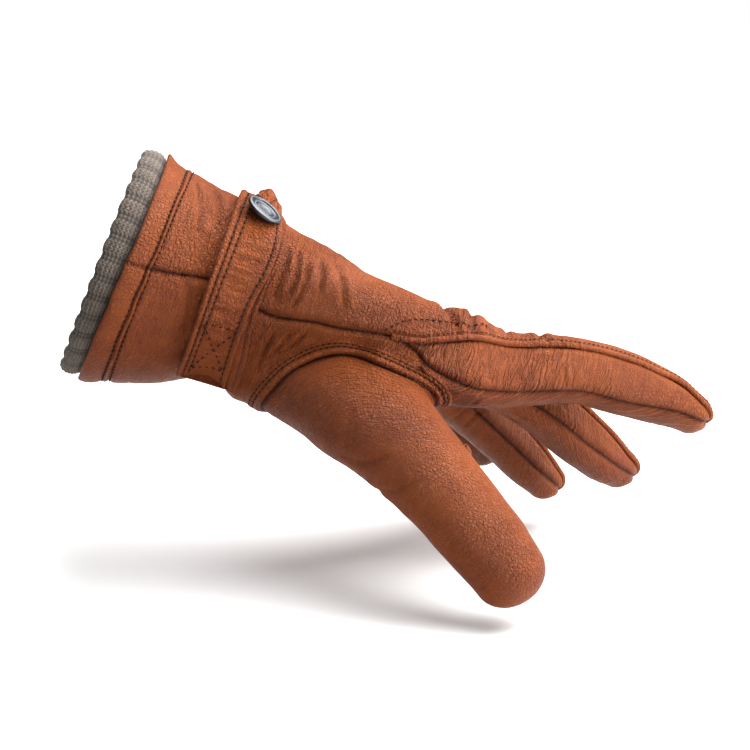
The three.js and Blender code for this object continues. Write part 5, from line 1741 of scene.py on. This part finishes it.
def make_stage():
    """A wide pale floor, a strong soft light from above, weaker ones beside it, and the camera."""
    square = ((-1, -1), (1, -1), (1, 1), (-1, 1))
    corners = [(x * FLOOR_SIZE, y * FLOOR_SIZE, FLOOR_HEIGHT) for x, y in square]
    mesh = bpy.data.meshes.new("floor")
    mesh.from_pydata(corners, [], [(0, 1, 2, 3)])
    floor = bpy.data.objects.new("floor", mesh)
    bpy.context.scene.collection.objects.link(floor)
    material, tree, shader = new_material("white_paper")
    seen = add_node(tree, "ShaderNodeLightPath")
    place = add_node(tree, "ShaderNodeTexCoord", output=3)
    distance = add_node(tree, "ShaderNodeVectorMath", {"operation": "LENGTH"}, output=1, i0=place)
    far = ((distance - 0.35) * 2.5).clamped()
    plug(tree, shader.inputs["Base Color"], mixed(tree, seen, rgb(0.72, 0.72, 0.72), rgb(0.9, 0.9, 0.9)))
    glow = (far + 0.12) * seen
    plug(tree, shader.inputs["Emission Color"], mixed(tree, glow, rgb(0, 0, 0), rgb(1, 1, 1)))
    shader.inputs["Emission Strength"].default_value = 1.0
    shader.inputs["Roughness"].default_value = 1.0
    shader.inputs["Specular IOR Level"].default_value = 0.0
    mesh.materials.append(material)

    world = bpy.data.worlds.new("studio")
    bpy.context.scene.world = world
    world.use_nodes = True
    tree = world.node_tree
    seen = add_node(tree, "ShaderNodeLightPath")
    soft, plain = [add_node(tree, "ShaderNodeBackground", Color=rgb(1.0, 1.0, 1.0), Strength=strength)
                   for strength in (0.06, 1.0)]
    both = add_node(tree, "ShaderNodeMixShader", i0=seen, i1=soft, i2=plain)
    plug(tree, tree.nodes["World Output"].inputs["Surface"], both)

    for name, (place, energy, width) in LIGHTS.items():
        data = bpy.data.lights.new(name, "AREA")
        data.energy, data.size = energy, width
        light = bpy.data.objects.new(name, data)
        bpy.context.scene.collection.objects.link(light)
        light.location = place
        aim = LIT_POINT - Vector(place)
        light.rotation_euler = aim.to_track_quat("-Z", "Y").to_euler()

    data = bpy.data.cameras.new("photograph")
    data.lens, data.sensor_width = 93.5, 36.0
    camera = bpy.data.objects.new("photograph", data)
    bpy.context.scene.collection.objects.link(camera)
    camera.location = to_model(EYE)
    camera.rotation_euler = (math.radians(90) - TILT, 0.0, 0.0)
    bpy.context.scene.camera = camera
    bpy.context.scene.view_settings.view_transform = "Standard"


# The add-on

def length(name, description, default, low, high, digits=4):
    """A length in metres as an editable property."""
    return FloatProperty(name=name, description=description, default=default, min=low, max=high,
                         unit="LENGTH", subtype="DISTANCE", precision=digits)


def tone(name, description, default):
    """A colour as an editable property."""
    return FloatVectorProperty(name=name, description=description, default=default, size=3, min=0.0, max=1.0,
                               subtype="COLOR")


class GloveSizes(bpy.types.PropertyGroup):
    leather: length("Leather", "Thickness of the deerskin", 0.0011, 0.0005, 0.003)
    slack: FloatProperty(name="Slack", description="How lumpy the leather lies, 1 as worn in", default=1.0,
                         min=0.0, max=2.0, subtype="FACTOR")
    welt: length("Welt", "Height of the raised seams of the fingers", 0.0018, 0.0005, 0.004)
    stitch_pitch: length("Stitch pitch", "From one stitch to the next", 0.0023, 0.002, 0.006)
    stitch_length: length("Stitch length", "Length of one stitch", 0.0014, 0.0008, 0.005)
    thread: length("Thread", "Radius of the sewing thread", 0.00028, 0.0001, 0.001, 5)
    rib: length("Rib", "How far the knit's raised wales stand up", 0.0003, 0.0, 0.0015)


class GloveColors(bpy.types.PropertyGroup):
    tan: tone("Tan", "Main colour of the leather", (0.315, 0.067, 0.0065))
    deep: tone("Deep tan", "Darker dye in the leather", (0.19, 0.034, 0.003))
    light: tone("Light tan", "Where the leather is rubbed pale", (0.40, 0.100, 0.016))
    thread: tone("Thread", "Colour of the sewing thread", (0.045, 0.015, 0.005))


FOURCHETTES = ("fourchette_index_middle", "fourchette_middle_ring", "fourchette_ring_little")


class GLOVE_OT_back(bpy.types.Operator):
    """Builds the back of the hand and fingers"""
    bl_idname = "glove.back"
    bl_label = "Back leather"

    def execute(self, context):
        make_panel("back")
        return {"FINISHED"}


class GLOVE_OT_palm(bpy.types.Operator):
    """Builds the palm side with the thumb's hole"""
    bl_idname = "glove.palm"
    bl_label = "Palm leather"

    def execute(self, context):
        make_panel("palm")
        return {"FINISHED"}


class GLOVE_OT_index_side(bpy.types.Operator):
    """Builds the strip along the thumb side of the index finger"""
    bl_idname = "glove.index_side"
    bl_label = "Index side"

    def execute(self, context):
        make_strip("index_side_leather", index_side_grid(), "index_side", 1.0)
        return {"FINISHED"}


class GLOVE_OT_fourchettes(bpy.types.Operator):
    """Builds the strips between the fingers"""
    bl_idname = "glove.fourchettes"
    bl_label = "Fourchettes"

    def execute(self, context):
        for finger, node in enumerate(FOURCHETTES):
            make_strip(f"{node}_leather", fourchette_grid(finger), node, 0.8)
        return {"FINISHED"}


class GLOVE_OT_thumb(bpy.types.Operator):
    """Builds the set-in thumb and the lapped seam round it"""
    bl_idname = "glove.thumb"
    bl_label = "Thumb"

    def execute(self, context):
        make_thumb()
        make_thumb_lap()
        return {"FINISHED"}


class GLOVE_OT_welts(bpy.types.Operator):
    """Builds the raised seams of the fingers and their stitches"""
    bl_idname = "glove.welts"
    bl_label = "Welts"

    def execute(self, context):
        make_welts()
        return {"FINISHED"}


class GLOVE_OT_trim(bpy.types.Operator):
    """Sews the ornamental stitches of the back"""
    bl_idname = "glove.trim"
    bl_label = "Trim"

    def execute(self, context):
        make_trim()
        return {"FINISHED"}


class GLOVE_OT_hem(bpy.types.Operator):
    """Builds the turned hem and its two rows of stitches"""
    bl_idname = "glove.hem"
    bl_label = "Hem"

    def execute(self, context):
        make_hem()
        return {"FINISHED"}


class GLOVE_OT_knit(bpy.types.Operator):
    """Builds the ribbed knit of the cuff"""
    bl_idname = "glove.knit"
    bl_label = "Knit"

    def execute(self, context):
        make_knit()
        return {"FINISHED"}


class GLOVE_OT_strap(bpy.types.Operator):
    """Builds the wrist strap and the tab under it"""
    bl_idname = "glove.strap"
    bl_label = "Strap"

    def execute(self, context):
        make_strap()
        make_tab()
        return {"FINISHED"}


class GLOVE_OT_snap(bpy.types.Operator):
    """Builds the snap's cap"""
    bl_idname = "glove.snap"
    bl_label = "Snap"

    def execute(self, context):
        make_snap()
        return {"FINISHED"}


class GLOVE_OT_stage(bpy.types.Operator):
    """Sets up the floor, the lights and the camera"""
    bl_idname = "glove.stage"
    bl_label = "Stage"

    def execute(self, context):
        make_stage()
        return {"FINISHED"}


class GLOVE_PT_pieces(bpy.types.Panel):
    """The glove's sizes, colours and pieces"""
    bl_idname = "GLOVE_PT_pieces"
    bl_label = "Deerskin Glove"
    bl_space_type = "VIEW_3D"
    bl_region_type = "UI"
    bl_category = "Glove"

    def draw(self, context):
        for group in (context.scene.glove_sizes, context.scene.glove_colors):
            box = self.layout.box()
            for name in group.__annotations__:
                box.prop(group, name)
        for piece in PIECES:
            self.layout.operator(piece.bl_idname)


PIECES = (
    GLOVE_OT_back,
    GLOVE_OT_palm,
    GLOVE_OT_index_side,
    GLOVE_OT_fourchettes,
    GLOVE_OT_thumb,
    GLOVE_OT_welts,
    GLOVE_OT_trim,
    GLOVE_OT_hem,
    GLOVE_OT_knit,
    GLOVE_OT_strap,
    GLOVE_OT_snap,
    GLOVE_OT_stage,
)
CLASSES = (GloveSizes, GloveColors) + PIECES + (GLOVE_PT_pieces,)


def register():
    for one in CLASSES:
        bpy.utils.register_class(one)
    bpy.types.Scene.glove_sizes = PointerProperty(type=GloveSizes)
    bpy.types.Scene.glove_colors = PointerProperty(type=GloveColors)


def unregister():
    del bpy.types.Scene.glove_colors
    del bpy.types.Scene.glove_sizes
    for one in reversed(CLASSES):
        bpy.utils.unregister_class(one)


def main():
    register()
    bpy.ops.glove.back()
    bpy.ops.glove.palm()
    bpy.ops.glove.index_side()
    bpy.ops.glove.fourchettes()
    bpy.ops.glove.thumb()
    bpy.ops.glove.welts()
    bpy.ops.glove.trim()
    bpy.ops.glove.hem()
    bpy.ops.glove.knit()
    bpy.ops.glove.strap()
    bpy.ops.glove.snap()
    bpy.ops.glove.stage()
    bpy.context.view_layer.update()


if __name__ == "__main__":
    main()
